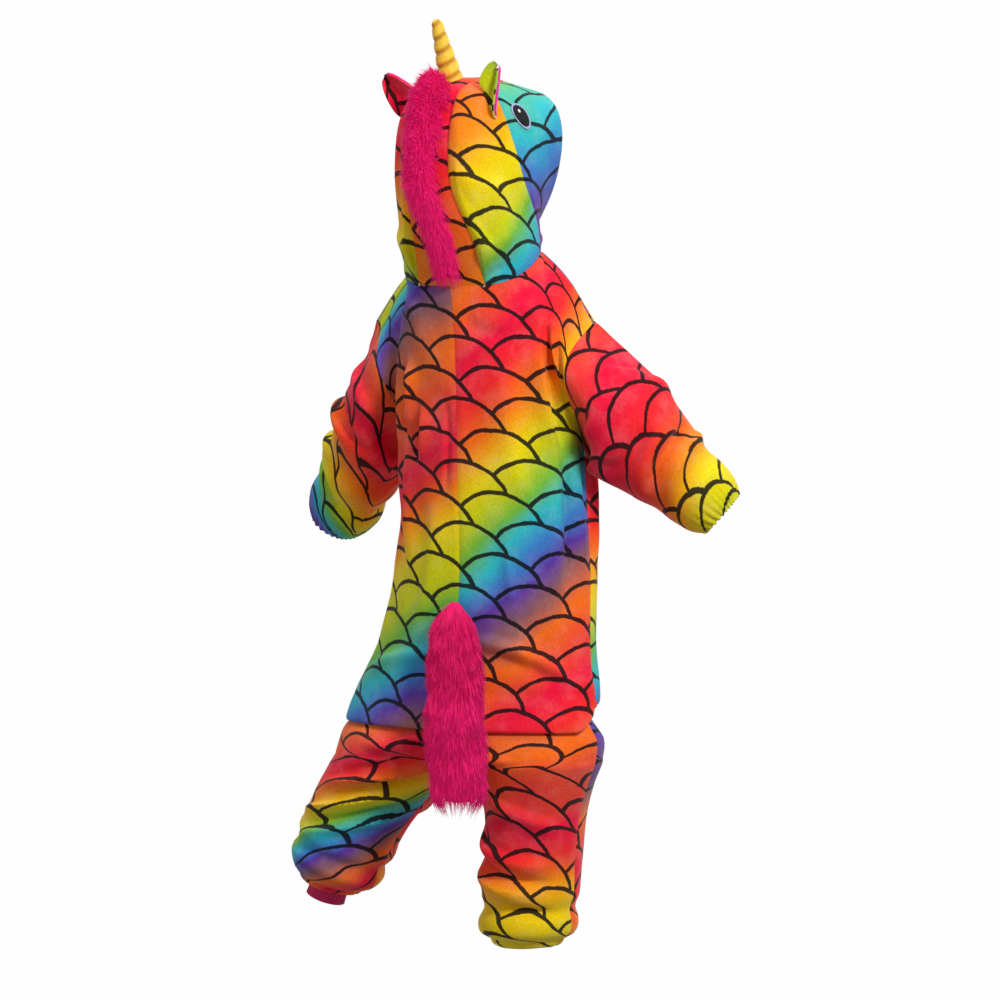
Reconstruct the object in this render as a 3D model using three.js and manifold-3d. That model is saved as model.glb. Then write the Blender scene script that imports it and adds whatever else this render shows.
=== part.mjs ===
// A child's hooded one-piece costume of plush cloth, worn open and hollow on a general figure in mid step.
// Millimetres, +Z up, front towards -Y, the wearer's left towards +X. The origin is the middle of the base
// of the neck, at the height of the shoulders, where the wearer holds the garment up.
import * as THREE from "three";
import { mergeVertices } from "three/addons/utils/BufferGeometryUtils.js";
import Module from "manifold-3d";

// ---------- Sizes ----------
const PLUSH = 2.4; // wall of pile cloth
const RIB = 2; // wall of the rib cuffs
const SEAM = 0.3; // gap between pieces at a seam
const ARMPIT = 250; // distances below the origin
const FOLD_START = 560;
const SEAT_ZIP = 583;
const CROTCH = 655;
const ZIP_GAP = 9; // between the front edges, where the front zip shows
const ZIP_END = 545;
const HOOD_TURN = -12; // degrees that the hood turns, here to the wearer's right
const SIDES = { left: 1, right: -1 };

// ---------- Tables ----------
// Trunk sections: down from the origin, centre, half width, and depth behind and before the centre.
const TRUNK = table(
  "down x y half back front",
  [
    [ARMPIT, -20, -42, 131, 116, 108],
    [330, -23, -40, 134, 114, 108],
    [400, -24, -32, 141, 106, 108],
    [460, -21, -22, 149, 97, 108],
    [520, -14, -13, 162, 90, 106],
    [FOLD_START, -8, -7, 177, 86, 104],
    [575, -5, -5, 180, 84, 103],
    [SEAT_ZIP, -4, -4, 172, 80, 99],
    [593, -3, -3, 171, 79, 98],
    [608, -2, -3, 180, 81, 100],
    [624, -1, -2, 190, 88, 100],
    [CROTCH, 3, 0, 192, 88, 92],
  ],
);

// Leg sections: centre, half width, depth behind and before it, and the lean of the section about Y.
const LEGS = {
  left: table(
    "down x y half back front lean",
    [
      [CROTCH, 99, 0, 96, 88, 92, 0],
      [688, 131, 0, 80, 80, 84, 8],
      [725, 160, 1, 69, 75, 78, 18],
      [758, 180, 3, 65, 73, 75, 22],
      [775, 188, 4, 67, 75, 77, 24],
      [789, 194, 5, 60, 68, 70, 24],
      [806, 201, 6, 65, 72, 74, 24],
      [822, 207, 6, 56, 61, 63, 22],
      [831, 211, 6, 44, 48, 49, 20],
    ],
  ),
  right: table(
    "down x y half back front lean",
    [
      [CROTCH, -93, 0, 96, 88, 92, 0],
      [690, -96, -6, 76, 80, 84, 0],
      [730, -93, -12, 66, 75, 78, 0],
      [790, -88, -15, 63, 70, 74, 0],
      [835, -84, -15, 65, 73, 76, 0],
      [852, -83, -15, 60, 67, 70, 0],
      [870, -81, -15, 65, 73, 76, 0],
      [886, -80, -15, 62, 69, 71, 0],
      [895, -79, -15, 48, 52, 54, 0],
    ],
  ),
};
const CUFF_RADIUS = 31;
// How far each cuff's top lies above the cloth's lowest ring, and the cuff's length.
const CUFFS = { left: { above: 2, long: 30 }, right: { above: 26, long: 28 } };

// The neck seam of one side, from the middle of the front round to the nape.
const SHOULDER_POINT = 0.4;
const STRIP_POINT = 0.86;
const NECK = table(
  "at x y z",
  [
    [0, ZIP_GAP / 2, -84, -8],
    [0.2, 46, -76, 10],
    [SHOULDER_POINT, 82, -47, 25],
    [0.6, 93, -2, 8],
    [0.74, 80, 32, -10],
    [STRIP_POINT, 50, 50, -18],
    [1, 0, 57, -20],
  ],
);

// The shoulder's outer end, and how far the armhole bows behind and before the line from armpit to shoulder.
const SHOULDER_TIP = { left: [159, -30, -70], right: [-172, -28, -66] };
const ARMHOLE = { back: 66, front: -44 };
const NECK_SHARE = { back: 9 / 12, front: 4 / 7 };
const SHOULDER_BOW = 10;
const YOKE_TURN = 78; // degrees of the arc from the chest over to the neck and shoulder

// Hood seams of one side by their place on the neck seam: the strip's edge, and how far the arch between bows.
const HOOD = table(
  "at x y z out behind",
  [
    [0, 25, -84, 239, 80, 0],
    [0.2, 26, -42, 249, 52, 17],
    [SHOULDER_POINT, 27, 3, 251, 20, 30],
    [0.5, 29, 37, 248, 5, 27],
    [0.6, 31, 64, 231, -2, 20],
    [0.7, 34, 82, 190, -2, 9],
    [0.78, 38, 89, 135, -2, 3],
    [0.83, 43, 80, 62, 4, 3],
    [STRIP_POINT, 49.5, 53, -11, 0, 0],
    [1, 50, 50, -18, 0, 0],
  ],
);
const STRIP_RISE = 6; // the strip's middle stands this far out from its edges

// Sleeve axes run from the armhole to the hem; each row is a ring: share of the way, half height, half depth.
const SLEEVES = {
  left: {
    from: [122, -20, -162],
    to: [268, -116, -350],
    rings: table(
      "along high deep",
      [
        [0, 88, 64],
        [0.2, 74, 62],
        [0.4, 62, 58],
        [0.5, 57, 54],
        [0.62, 59, 57],
        [0.74, 51, 50],
        [0.86, 52, 52],
        [0.95, 45, 45],
        [1, 38, 38],
      ],
    ),
  },
  right: {
    from: [-156, -20, -159],
    to: [-322, -106, -320],
    rings: table(
      "along high deep",
      [
        [0, 92, 66],
        [0.2, 84, 66],
        [0.4, 72, 60],
        [0.6, 60, 55],
        [0.72, 52, 50],
        [0.82, 51, 51],
        [0.92, 47, 47],
        [0.97, 42, 43],
        [1, 37, 38],
      ],
    ),
  },
};

// Large soft folds: the piece, its middle across and along, its reach across and along, and its height.
const FOLDS = table(
  "piece across along wide long rise",
  [
    ["back_right", 0.62, 300, 0.07, 150, 5],
    ["back_right", 0.8, 350, 0.06, 120, -6],
    ["back_right", 0.9, 470, 0.06, 110, 5],
    ["back_left", 0.75, 380, 0.07, 120, 6],
    ["back_left", 0.2, 430, 0.08, 90, -4],
    ["front_left", 0.6, 420, 0.09, 160, 6],
    ["front_right", 0.55, 400, 0.09, 160, -6],
    ["front_left", 0.4, 700, 0.12, 60, 5],
    ["front_right", 0.5, 705, 0.12, 60, 5],
    ["leg_left_back", 0.35, 700, 0.12, 50, -5],
    ["leg_right_back", 0.6, 720, 0.12, 60, -5],
  ],
);

// The hem that hangs over the seat zip, at the middle of the back and at the side seams.
const HEM = {
  drop: { middle: 27, side: 6 },
  out: { middle: 13, side: 1.5 },
  radius: 3.8,
};
const ZIP_CLEAR = 6; // from the zip's line to the cloth's edge below it
const TAPE = { thick: 1.2, above: 8, below: 9, reach: 0.96, gap: 0.6 };
const SLEEVE_HEM = { radius: 2.9, deep: 12 };
const UNDERARM_EASE = 110; // how strongly the sleeve leaves the underarm outwards
const SLEEVE_CAP = 0.34; // share of the sleeve that blends from the armhole into round rings

// Sewn-on pieces. Places on the hood are shares of the arch and of the neck seam.
const FELT = { thick: 1.6, lift: 0.6 };
const EYE = { arch: 0.6, place: 0.3, tall: 15, wide: 11, tilt: 20 };
const EAR = { at: 0.46, high: 0.78, low: 0.56, wide: 23, tall: 54, cup: 15, gap: 0.6 };
// The ears lean outwards by degrees; the left one flops. Their seats clear the curve of the hood.
const EAR_SIDES = { left: { splay: 50, lift: 2.5 }, right: { splay: 12, lift: 3.5 } };
const HORN = { at: 0.5, lift: -0.4, lean: [0.14, 0.27, 1], tall: 84, base: 17, tip: 7, turns: 4.6, groove: 0.12 };
const PILE_LOCK = 0.88; // every other lock is this share of the pile's height
const PILE_SEAT = 1;
const MANE = table(
  "at half tall",
  [
    [0.56, 22, 32],
    [0.62, 27, 32],
    [0.7, 28, 25],
    [0.8, 26, 22],
    [0.85, 20, 14],
  ],
);
const TAIL = table(
  "down x y half deep",
  [
    [436, -21, 82, 12, 7],
    [465, -24, 90, 28, 13],
    [510, -29, 98, 37, 18],
    [555, -34, 104, 39, 19],
    [590, -38, 115, 40, 20],
    [620, -40, 115, 40, 20],
    [670, -41, 112, 40, 20],
    [702, -41, 110, 34, 17],
    [716, -41, 110, 22, 11],
  ],
);
const CUFF_CLEAR = 1.5; // from the cloth ring that a cuff is sewn to
const CUFF_WAIST = 0.1; // the cuffs narrow by this share below their top

// Zip hardware. The pull's hinge is a bar in the slider's bridge.
const SLIDER = { thick: 2.4, axis: 4.4, lift: 0.7, bar: { inner: 1.3, outer: 2.4, wide: 2.4 } };
const PULL = { half: 3.6, bar: 0.7, slot: 4.6, slotHalf: 1.9, long: 15, hole: 2, thick: 1.2 };
const SEAT_SLIDER = { across: 0.94, down: 603, lift: 0 };
const FRONT_SLIDER_ROW = -8 / 9;
const FRONT_TAPE_DROP = 0.7;
const COLOURS = { cloth: 0xe0602c, pink: 0xe0005a, horn: 0xf0c332, plastic: 0xf2f2f2, dark: 0x151515, pale: 0xc8bfe0 };

// ---------- Numbers along a table ----------
function table(columns, rows) {
  const names = columns.split(" ");
  return rows.map((row) => Object.fromEntries(names.map((name, i) => [name, row[i]])));
}

// A smooth curve through a table's rows; the first column is the place along it.
function along(rows, place) {
  const [key, ...names] = Object.keys(rows[0]);
  const last = rows.length - 1;
  const found = rows.findIndex((row) => row[key] > place);
  const i = Math.min(Math.max(found < 0 ? last - 1 : found - 1, 0), last - 1);
  const span = rows[i + 1][key] - rows[i][key];
  const s = THREE.MathUtils.clamp((place - rows[i][key]) / span, 0, 1);
  const slope = (j, name) => {
    const a = rows[Math.max(j - 1, 0)];
    const b = rows[Math.min(j + 1, last)];
    return ((b[name] - a[name]) / (b[key] - a[key])) * span;
  };
  const value = (name) =>
    rows[i][name] * (1 - s) ** 2 * (1 + 2 * s) +
    rows[i + 1][name] * s ** 2 * (3 - 2 * s) +
    slope(i, name) * s * (1 - s) ** 2 -
    slope(i + 1, name) * s ** 2 * (1 - s);
  return Object.fromEntries(names.map((name) => [name, value(name)]));
}

const vector = (x, y, z) => new THREE.Vector3(x, y, z);
const radians = THREE.MathUtils.degToRad;
const mix = THREE.MathUtils.lerp;
const smooth = THREE.MathUtils.smoothstep;
const steps = (from, to, count) => Array.from({ length: count + 1 }, (_, i) => mix(from, to, i / count));

// ---------- Walls ----------
// A grid holds outer points, rows along the piece and columns across it, with the way out at each point.
function grid(rows, columns, surface, { thick = PLUSH, facing = 1, ring = false, lift = 0 } = {}) {
  const nudge = 1e-3;
  const points = rows.map((v) =>
    columns.map((u) => {
      const p = surface(u, v);
      const across = surface(u + nudge, v).sub(surface(u - nudge, v));
      const down = surface(u, v + nudge).sub(surface(u, v - nudge));
      const out = down.cross(across).normalize().multiplyScalar(facing);
      p.addScaledVector(out, lift);
      return { p, out, thick, move: vector(0, 0, 0) };
    }),
  );
  return { points, ring };
}

// Where pieces meet, their walls share one way out, so that both faces of the seam stay the same gap apart.
function weld(grids) {
  const meetings = new Map();
  for (const g of grids)
    for (const point of g.points.flat()) {
      const name = point.p.toArray().map((n) => Math.round(n * 100)).join();
      meetings.set(name, [...(meetings.get(name) ?? []), point]);
    }
  for (const met of meetings.values()) {
    if (met.length < 2) continue;
    const out = met.reduce((sum, { out }) => sum.add(out), vector(0, 0, 0)).normalize();
    const lean = Math.max(0.6, ...met.map((point) => Math.abs(point.out.dot(out))));
    met.forEach((point) => {
      point.out = out.clone();
      point.thick /= lean;
    });
  }
}

// Draws each border of a grid in by half a seam, square to the border and in the cloth.
function drawIn(g) {
  const rows = g.points.length;
  const columns = g.points[0].length;
  const pull = (j, i, jIn, iIn, j0, i0, j1, i1) => {
    const at = g.points[j][i];
    const border = g.points[j1][i1].p.clone().sub(g.points[j0][i0].p).normalize();
    const inward = g.points[jIn][iIn].p.clone().sub(at.p);
    inward.addScaledVector(at.out, -inward.dot(at.out));
    inward.addScaledVector(border, -inward.dot(border));
    at.move.addScaledVector(inward.normalize(), SEAM / 2);
  };
  for (let j = 0; j < rows && !g.ring; j++) {
    const [a, b] = [Math.max(j - 1, 0), Math.min(j + 1, rows - 1)];
    pull(j, 0, j, 1, a, 0, b, 0);
    pull(j, columns - 1, j, columns - 2, a, columns - 1, b, columns - 1);
  }
  for (let i = 0; i < columns; i++) {
    const a = g.ring ? (i + columns - 1) % columns : Math.max(i - 1, 0);
    const b = g.ring ? (i + 1) % columns : Math.min(i + 1, columns - 1);
    pull(0, i, 1, i, 0, a, 0, b);
    pull(rows - 1, i, rows - 2, i, rows - 1, a, rows - 1, b);
  }
}

// Triangles between two rows of points, or round a ring.
function skin(faces, first, second, closed) {
  const count = first.length;
  for (let i = 0; i < (closed ? count : count - 1); i++) {
    const k = (i + 1) % count;
    faces.push([first[i], second[i], second[k]], [first[i], second[k], first[k]]);
  }
}

// The end face between two borders. Each part of it is split at its shorter diagonal, on both sides of a seam.
function rim(faces, first, second, closed) {
  const count = first.length;
  for (let i = 0; i < (closed ? count : count - 1); i++) {
    const k = (i + 1) % count;
    const [a, b, c, d] = [first[i], second[i], second[k], first[k]];
    if (a.distanceTo(c) < b.distanceTo(d)) faces.push([a, b, c], [a, c, d]);
    else faces.push([a, b, d], [b, c, d]);
  }
}

// One closed mesh from faces of shared points, turned so that its faces point out.
function solid(faces) {
  const volume = faces.reduce((sum, [a, b, c]) => sum + a.dot(b.clone().cross(c)), 0);
  const turned = volume < 0 ? faces.map(([a, b, c]) => [a, c, b]) : faces;
  const geometry = new THREE.BufferGeometry();
  geometry.setFromPoints(turned.flat());
  geometry.computeVertexNormals();
  return geometry;
}

function wall(g) {
  const faces = [];
  const outer = g.points.map((row) => row.map(({ p, move }) => p.clone().add(move)));
  const inner = g.points.map((row) =>
    row.map(({ p, move, out, thick }) => p.clone().add(move).addScaledVector(out, -thick)),
  );
  const last = outer.length - 1;
  for (let j = 0; j < last; j++) {
    skin(faces, outer[j], outer[j + 1], g.ring);
    skin(faces, inner[j + 1], inner[j], g.ring);
  }
  rim(faces, inner[0], outer[0], g.ring);
  rim(faces, outer[last], inner[last], g.ring);
  if (!g.ring) {
    const edge = (points, i) => points.map((row) => row.at(i));
    rim(faces, edge(outer, 0), edge(inner, 0), false);
    rim(faces, edge(inner, -1), edge(outer, -1), false);
  }
  return solid(faces);
}

// A full body from closed rings, with a point at each end.
function filled(rings, start, end) {
  const faces = [];
  for (let j = 0; j < rings.length - 1; j++) skin(faces, rings[j], rings[j + 1], true);
  const cap = (ring, middle, flip) =>
    ring.forEach((p, i) => {
      const q = ring[(i + 1) % ring.length];
      faces.push(flip ? [middle, q, p] : [middle, p, q]);
    });
  cap(rings[0], start, false);
  cap(rings.at(-1), end, true);
  return solid(faces);
}

// ---------- Body ----------
// The fold table's height at a place on a piece.
function folded(piece, u, v) {
  return FOLDS.filter((fold) => fold.piece === piece).reduce((sum, fold) => {
    const across = ((u - fold.across) / fold.wide) ** 2;
    const length = ((v - fold.along) / fold.long) ** 2;
    return sum + fold.rise * Math.exp(-across - length);
  }, 0);
}

// The section of one side at a distance down: trunk, then the split at the crotch, then the leg.
function section(side, down) {
  const hand = SIDES[side];
  if (down > CROTCH) {
    const leg = along(LEGS[side], down);
    return { ...leg, z: -down, start: -Math.PI / 2, lean: radians(leg.lean) * hand };
  }
  const trunk = along(TRUNK, down);
  const split = smooth(down, SEAT_ZIP, CROTCH);
  return {
    ...trunk,
    x: trunk.x + (hand * split * trunk.half) / 2,
    half: trunk.half * (1 - split / 2),
    z: -down,
    start: -Math.asin(split / (2 - split)),
    lean: 0,
  };
}

// A point of a section: u runs from the middle or inside seam to the side seam, face is back (1) or front (-1).
function onSection(side, face, u, down, raise = 0) {
  const s = section(side, down);
  const zip = face < 0 ? (ZIP_GAP / 2) * (1 - smooth(down, ZIP_END - 15, ZIP_END)) : 0;
  const angle = mix(s.start + Math.asin(zip / s.half), Math.PI / 2, u);
  const deep = face > 0 ? s.back : s.front;
  const x = SIDES[side] * (s.half + raise) * Math.sin(angle);
  return vector(
    s.x + x * Math.cos(s.lean),
    s.y + face * (deep + raise) * Math.cos(angle),
    s.z + x * Math.sin(s.lean),
  );
}

const onNeck = (side, at) => {
  const n = along(NECK, at);
  return vector(SIDES[side] * n.x, n.y, n.z);
};

// The top edge of a body piece: the neck seam, then the shoulder seam out to its tip.
function topEdge(side, face, u) {
  const share = NECK_SHARE[face > 0 ? "back" : "front"];
  if (u <= share) return onNeck(side, mix(face > 0 ? 1 : 0, SHOULDER_POINT, u / share));
  const t = (u - share) / (1 - share);
  const point = onNeck(side, SHOULDER_POINT).lerp(vector(...SHOULDER_TIP[side]), t);
  point.z += SHOULDER_BOW * Math.sin(Math.PI * t);
  return point;
}

// Above the armpit: arcs that rise from the chest and turn over to the neck and shoulder.
function onYoke(side, face, u, rise) {
  const from = onSection(side, face, u, ARMPIT);
  const to = topEdge(side, face, u);
  const turn = radians(YOKE_TURN);
  const up = Math.sin(turn * rise) / Math.sin(turn);
  const over = (1 - Math.cos(turn * rise)) / (1 - Math.cos(turn));
  const bow = (face > 0 ? ARMHOLE.back : ARMHOLE.front) * Math.sin(Math.PI * rise) ** 2 * u ** 3;
  return vector(mix(from.x, to.x, over), mix(from.y, to.y, over) + bow, mix(from.z, to.z, up));
}

// A place past the last plain row of a cloth edge: how far it has fallen, turned under and been tucked up.
const foldStep = (v) => ({
  fall: THREE.MathUtils.clamp(v, 0, 1),
  turn: THREE.MathUtils.clamp(v - 1, 0, 1) * Math.PI,
  tuck: THREE.MathUtils.clamp(v - 2, 0, 1),
});

// The back's hem that blouses over the seat zip: a bulge, a round fold and a tuck up behind it.
function onHem(side, u, v) {
  const { fall, turn, tuck } = foldStep(v);
  const close = 1 - smooth(u, 0.72, 1);
  const blend = (pair) => mix(pair.side, pair.middle, close);
  const within = Math.min(u, 1 - 0.03 * fall);
  const lowest = SEAT_ZIP + blend(HEM.drop) - HEM.radius;
  const start = onSection(side, 1, within, mix(FOLD_START, 575, fall), blend(HEM.out) * fall);
  start.z = -mix(FOLD_START, lowest, fall);
  const end = onSection(side, 1, within, SEAT_ZIP, -PLUSH);
  end.z = TAPE.above - SEAT_ZIP;
  const inward = end.clone().sub(start).setZ(0).normalize();
  start.addScaledVector(inward, HEM.radius * (1 - Math.cos(turn)));
  start.z -= HEM.radius * Math.sin(turn);
  start.z = mix(start.z, end.z, tuck);
  return start.lerp(end.setZ(start.z), tuck ** 2);
}

// The way down a leg at its lowest ring, and a point of the ring that the cuff is sewn to.
function legEnd(side, angle, radius, below) {
  const rows = LEGS[side];
  const s = section(side, rows.at(-1).down);
  const x = SIDES[side] * radius * Math.sin(angle);
  return vector(
    s.x + x * Math.cos(s.lean) + below * Math.sin(s.lean),
    s.y + radius * Math.cos(angle),
    s.z + x * Math.sin(s.lean) - below * Math.cos(s.lean),
  );
}

// A leg's hem: it turns under and runs up inside to the cuff.
function onLegHem(side, face, u, v) {
  const { turn, tuck } = foldStep(v);
  const rows = LEGS[side];
  const outer = onSection(side, face, u, rows.at(-1).down);
  const angle = mix(-Math.PI / 2, Math.PI / 2, u);
  const inner = legEnd(side, face > 0 ? angle : Math.PI - angle, CUFF_RADIUS, 0);
  const deep = outer.distanceTo(inner) / 2;
  const lean = section(side, rows.at(-1).down).lean;
  const point = outer.lerp(inner, (1 - Math.cos(turn)) / 2);
  const below = deep * Math.sin(turn) - tuck * CUFFS[side].above;
  return point.add(vector(below * Math.sin(lean), 0, -below * Math.cos(lean)));
}

// A body piece's rows: up the yoke from -1 to 0, then the distance down, then past these starts the hems.
const HEM_ROWS = 1000;
const LEG_HEM_ROWS = 2000;
const bodySurface = (name, side, face) => (u, v) => {
  if (v < 1) return onYoke(side, face, u, -v);
  if (v >= LEG_HEM_ROWS - 0.5) return onLegHem(side, face, u, v - LEG_HEM_ROWS + 1);
  if (v >= HEM_ROWS - 0.5) return onHem(side, u, v - HEM_ROWS);
  const edge = Math.sin(Math.PI * THREE.MathUtils.clamp(u, 0, 1));
  return onSection(side, face, u, v, folded(name, u, v) * edge);
};

// Rows and columns; hood and body share the columns along the neck seam.
const STRIP_PLACES = steps(1, STRIP_POINT, 2);
const SIDE_PLACES = steps(STRIP_POINT, SHOULDER_POINT, 7);
const BAND_PLACES = steps(SHOULDER_POINT, 0, 4);
const SHOULDER_COLUMNS = 3;
const BACK_COLUMNS = [
  ...[...STRIP_PLACES, ...SIDE_PLACES.slice(1)].map(
    (at) => ((1 - at) / (1 - SHOULDER_POINT)) * NECK_SHARE.back,
  ),
  ...steps(NECK_SHARE.back, 1, SHOULDER_COLUMNS).slice(1),
];
const FRONT_COLUMNS = [
  ...steps(0, NECK_SHARE.front, BAND_PLACES.length - 1),
  ...steps(NECK_SHARE.front, 1, SHOULDER_COLUMNS).slice(1),
];
const YOKE_ROWS = steps(-1, 0, 9).slice(0, -1);
const TRUNK_ROWS = [...steps(ARMPIT, 530, 8), 545, FOLD_START];
const SEAT_ROWS = [SEAT_ZIP + ZIP_CLEAR, 597, 608, 622, 638, CROTCH];
const SEAT_COLUMNS = steps(0, 1, 9);
const TURN_ROWS = [0.25, 0.5, 0.75, 1];
const legRows = (side) => {
  const downs = LEGS[side].map(({ down }) => down);
  const halved = downs.slice(1).flatMap((down, i) => (down - downs[i] > 15 ? [(downs[i] + down) / 2, down] : [down]));
  return [...halved, ...[...TURN_ROWS, 2].map((v) => LEG_HEM_ROWS + v)];
};
const hemRows = [0.35, 0.7, 1, ...TURN_ROWS.map((v) => v + 1), 2.4, 2.7, 3].map((v) => HEM_ROWS + v);

function bodyPieces() {
  const pieces = {};
  for (const side of Object.keys(SIDES)) {
    const hand = SIDES[side];
    const back = [...YOKE_ROWS, ...TRUNK_ROWS, ...hemRows];
    const front = [...YOKE_ROWS, ...TRUNK_ROWS, 568, 575, SEAT_ZIP, ...SEAT_ROWS, ...legRows(side)];
    const names = [`back_${side}`, `front_${side}`, `leg_${side}_back`];
    pieces[names[0]] = grid(back, BACK_COLUMNS, bodySurface(names[0], side, 1), { facing: -hand });
    pieces[names[1]] = grid(front, FRONT_COLUMNS, bodySurface(names[1], side, -1), { facing: hand });
    const seat = [...SEAT_ROWS, ...legRows(side)];
    pieces[names[2]] = grid(seat, SEAT_COLUMNS, bodySurface(names[2], side, 1), { facing: -hand });
  }
  return pieces;
}

// ---------- Sleeves ----------
const armhole = (side, u) => {
  const round = ((u % 1) + 1) % 1;
  return round < 0.5 ? onYoke(side, 1, 1, 2 * round) : onYoke(side, -1, 1, 2 - 2 * round);
};

// A ring of the sleeve below its cap: round runs from the underarm by the back over the shoulder.
function sleeveRing(side, round, v) {
  const { from, to, rings } = SLEEVES[side];
  const { turn, tuck } = foldStep(v);
  const far = Math.min(v, 1);
  const axis = vector(...to).sub(vector(...from));
  const long = axis.length();
  axis.normalize();
  const up = vector(0, 0, 1).addScaledVector(axis, -axis.z).normalize();
  const behind = axis.clone().cross(up).multiplyScalar(-SIDES[side]);
  const ring = along(rings, far);
  const fold = -SLEEVE_HEM.radius * (1 - Math.cos(turn));
  const reach = far * long + SLEEVE_HEM.radius * Math.sin(turn) - tuck * SLEEVE_HEM.deep;
  const angle = 2 * Math.PI * round;
  return vector(...from)
    .addScaledVector(axis, reach)
    .addScaledVector(up, -(ring.high + fold) * Math.cos(angle))
    .addScaledVector(behind, (ring.deep + fold) * Math.sin(angle));
}

// The sleeve from armhole to hem; its cap runs smoothly from the armhole's loop into the first round ring.
function onSleeve(side, round, v) {
  if (v >= SLEEVE_CAP) return sleeveRing(side, round, v);
  const start = armhole(side, round);
  const end = sleeveRing(side, round, SLEEVE_CAP);
  const chord = end.clone().sub(start);
  const leave = sleeveRing(side, round, SLEEVE_CAP + 0.01).sub(end).multiplyScalar(SLEEVE_CAP / 0.01);
  const ease = vector(SIDES[side] * UNDERARM_EASE * Math.max(0, Math.cos(2 * Math.PI * round)), 0, 0);
  const s = v / SLEEVE_CAP;
  return start
    .addScaledVector(chord, s ** 2 * (3 - 2 * s) + s * (1 - s) ** 2)
    .addScaledVector(ease, s * (1 - s) ** 2)
    .addScaledVector(leave, -(s ** 2) * (1 - s));
}

function sleevePieces() {
  const rows = [0, 0.06, 0.13, 0.21, 0.3, 0.4, 0.5, 0.6, 0.72, 0.82, 0.91, 0.96, 1, 1.25, 1.5, 1.75, 2, 3];
  const round = steps(0, 1, 2 * YOKE_ROWS.length).slice(0, -1);
  return Object.fromEntries(
    Object.keys(SIDES).map((side) => [
      `sleeve_${side}`,
      grid(rows, round, (u, v) => onSleeve(side, u, v), { ring: true, facing: -SIDES[side] }),
    ]),
  );
}

// ---------- Hood ----------
// The hood looks further round than the chest, more so with height.
function turned(point) {
  const share = smooth(point.z, 28, 130);
  return point.applyAxisAngle(vector(0, 0, 1), radians(HOOD_TURN) * share);
}

// The hood between neck seam (arch 0) and strip seam (arch 1), by its place on the neck seam.
function onHood(side, arch, at) {
  const h = along(HOOD, at);
  const from = onNeck(side, at);
  const quarter = (Math.PI / 2) * arch;
  const swell = Math.sin(Math.PI * THREE.MathUtils.clamp(arch, 0, 1)) ** 0.8;
  return turned(
    vector(
      mix(from.x, SIDES[side] * h.x, 1 - Math.cos(quarter)) + SIDES[side] * h.out * swell,
      mix(from.y, h.y, Math.sin(quarter)) + h.behind * swell,
      mix(from.z, h.z, Math.sin(quarter)),
    ),
  );
}

// The strip between its two seams: across runs from -1 (right) to 1 (left).
function onStrip(across, at, raise = 0) {
  const h = along(HOOD, at);
  const ahead = along(HOOD, Math.min(at + 0.02, 1));
  const behind = along(HOOD, Math.max(at - 0.02, 0));
  const out = vector(0, behind.z - ahead.z, ahead.y - behind.y).normalize();
  const swell = STRIP_RISE * (1 - across ** 2) * (1 - smooth(at, 0.8, 1));
  const bottom = at > STRIP_POINT ? onNeck("left", 1 - (1 - STRIP_POINT) * Math.abs(across)) : null;
  const point = vector(h.x * across, h.y, h.z);
  if (bottom) {
    const share = (at - STRIP_POINT) / (1 - STRIP_POINT);
    bottom.x *= Math.sign(across);
    point.lerp(bottom, share);
  }
  return turned(point.addScaledVector(out, swell + raise));
}

const BAND_ARCHES = steps(0, 1, 11);
const STRIP_COLUMNS = [-1, -0.5, 0, 0.5, 1];
const STRIP_ROWS = [...[...BAND_PLACES].reverse(), ...[...SIDE_PLACES].reverse().slice(1), 1];

function hoodPieces() {
  const pieces = {};
  for (const side of Object.keys(SIDES)) {
    const surface = (u, v) => onHood(side, u, v);
    const facing = SIDES[side];
    pieces[`hood_band_${side}`] = grid([...BAND_PLACES].reverse(), BAND_ARCHES, surface, { facing });
    pieces[`hood_side_${side}`] = grid([...SIDE_PLACES].reverse(), BAND_ARCHES, surface, { facing });
  }
  pieces.hood_centre_strip = grid(STRIP_ROWS, STRIP_COLUMNS, (u, v) => onStrip(u, v), { facing: -1 });
  return pieces;
}

// ---------- Sewn-on pieces ----------
// A place on a grid's flat facets, moved out along the way out there. Columns and rows are the grid's own.
function onFacets(g, columns, rows, u, v, raise = 0) {
  const cell = (places, place) => {
    const up = places[1] > places[0];
    const found = places.findIndex((at) => (up ? at > place : at < place));
    const i = Math.min(Math.max(found < 0 ? places.length - 2 : found - 1, 0), places.length - 2);
    return [i, THREE.MathUtils.clamp((place - places[i]) / (places[i + 1] - places[i]), 0, 1)];
  };
  const [i, s] = cell(columns, u);
  const [j, t] = cell(rows, v);
  const blend = (key) => {
    const [a, b, c, d] = [g.points[j][i], g.points[j + 1][i], g.points[j + 1][i + 1], g.points[j][i + 1]];
    const [first, corner, second] = t > s ? [b[key], t, s] : [d[key], s, t];
    return a[key]
      .clone()
      .addScaledVector(first.clone().sub(a[key]), corner)
      .addScaledVector(c[key].clone().sub(first), second);
  };
  return blend("p").addScaledVector(blend("out").normalize(), raise);
}

const around = (count, make) => steps(0, 2 * Math.PI, count).slice(0, -1).map(make);

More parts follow.
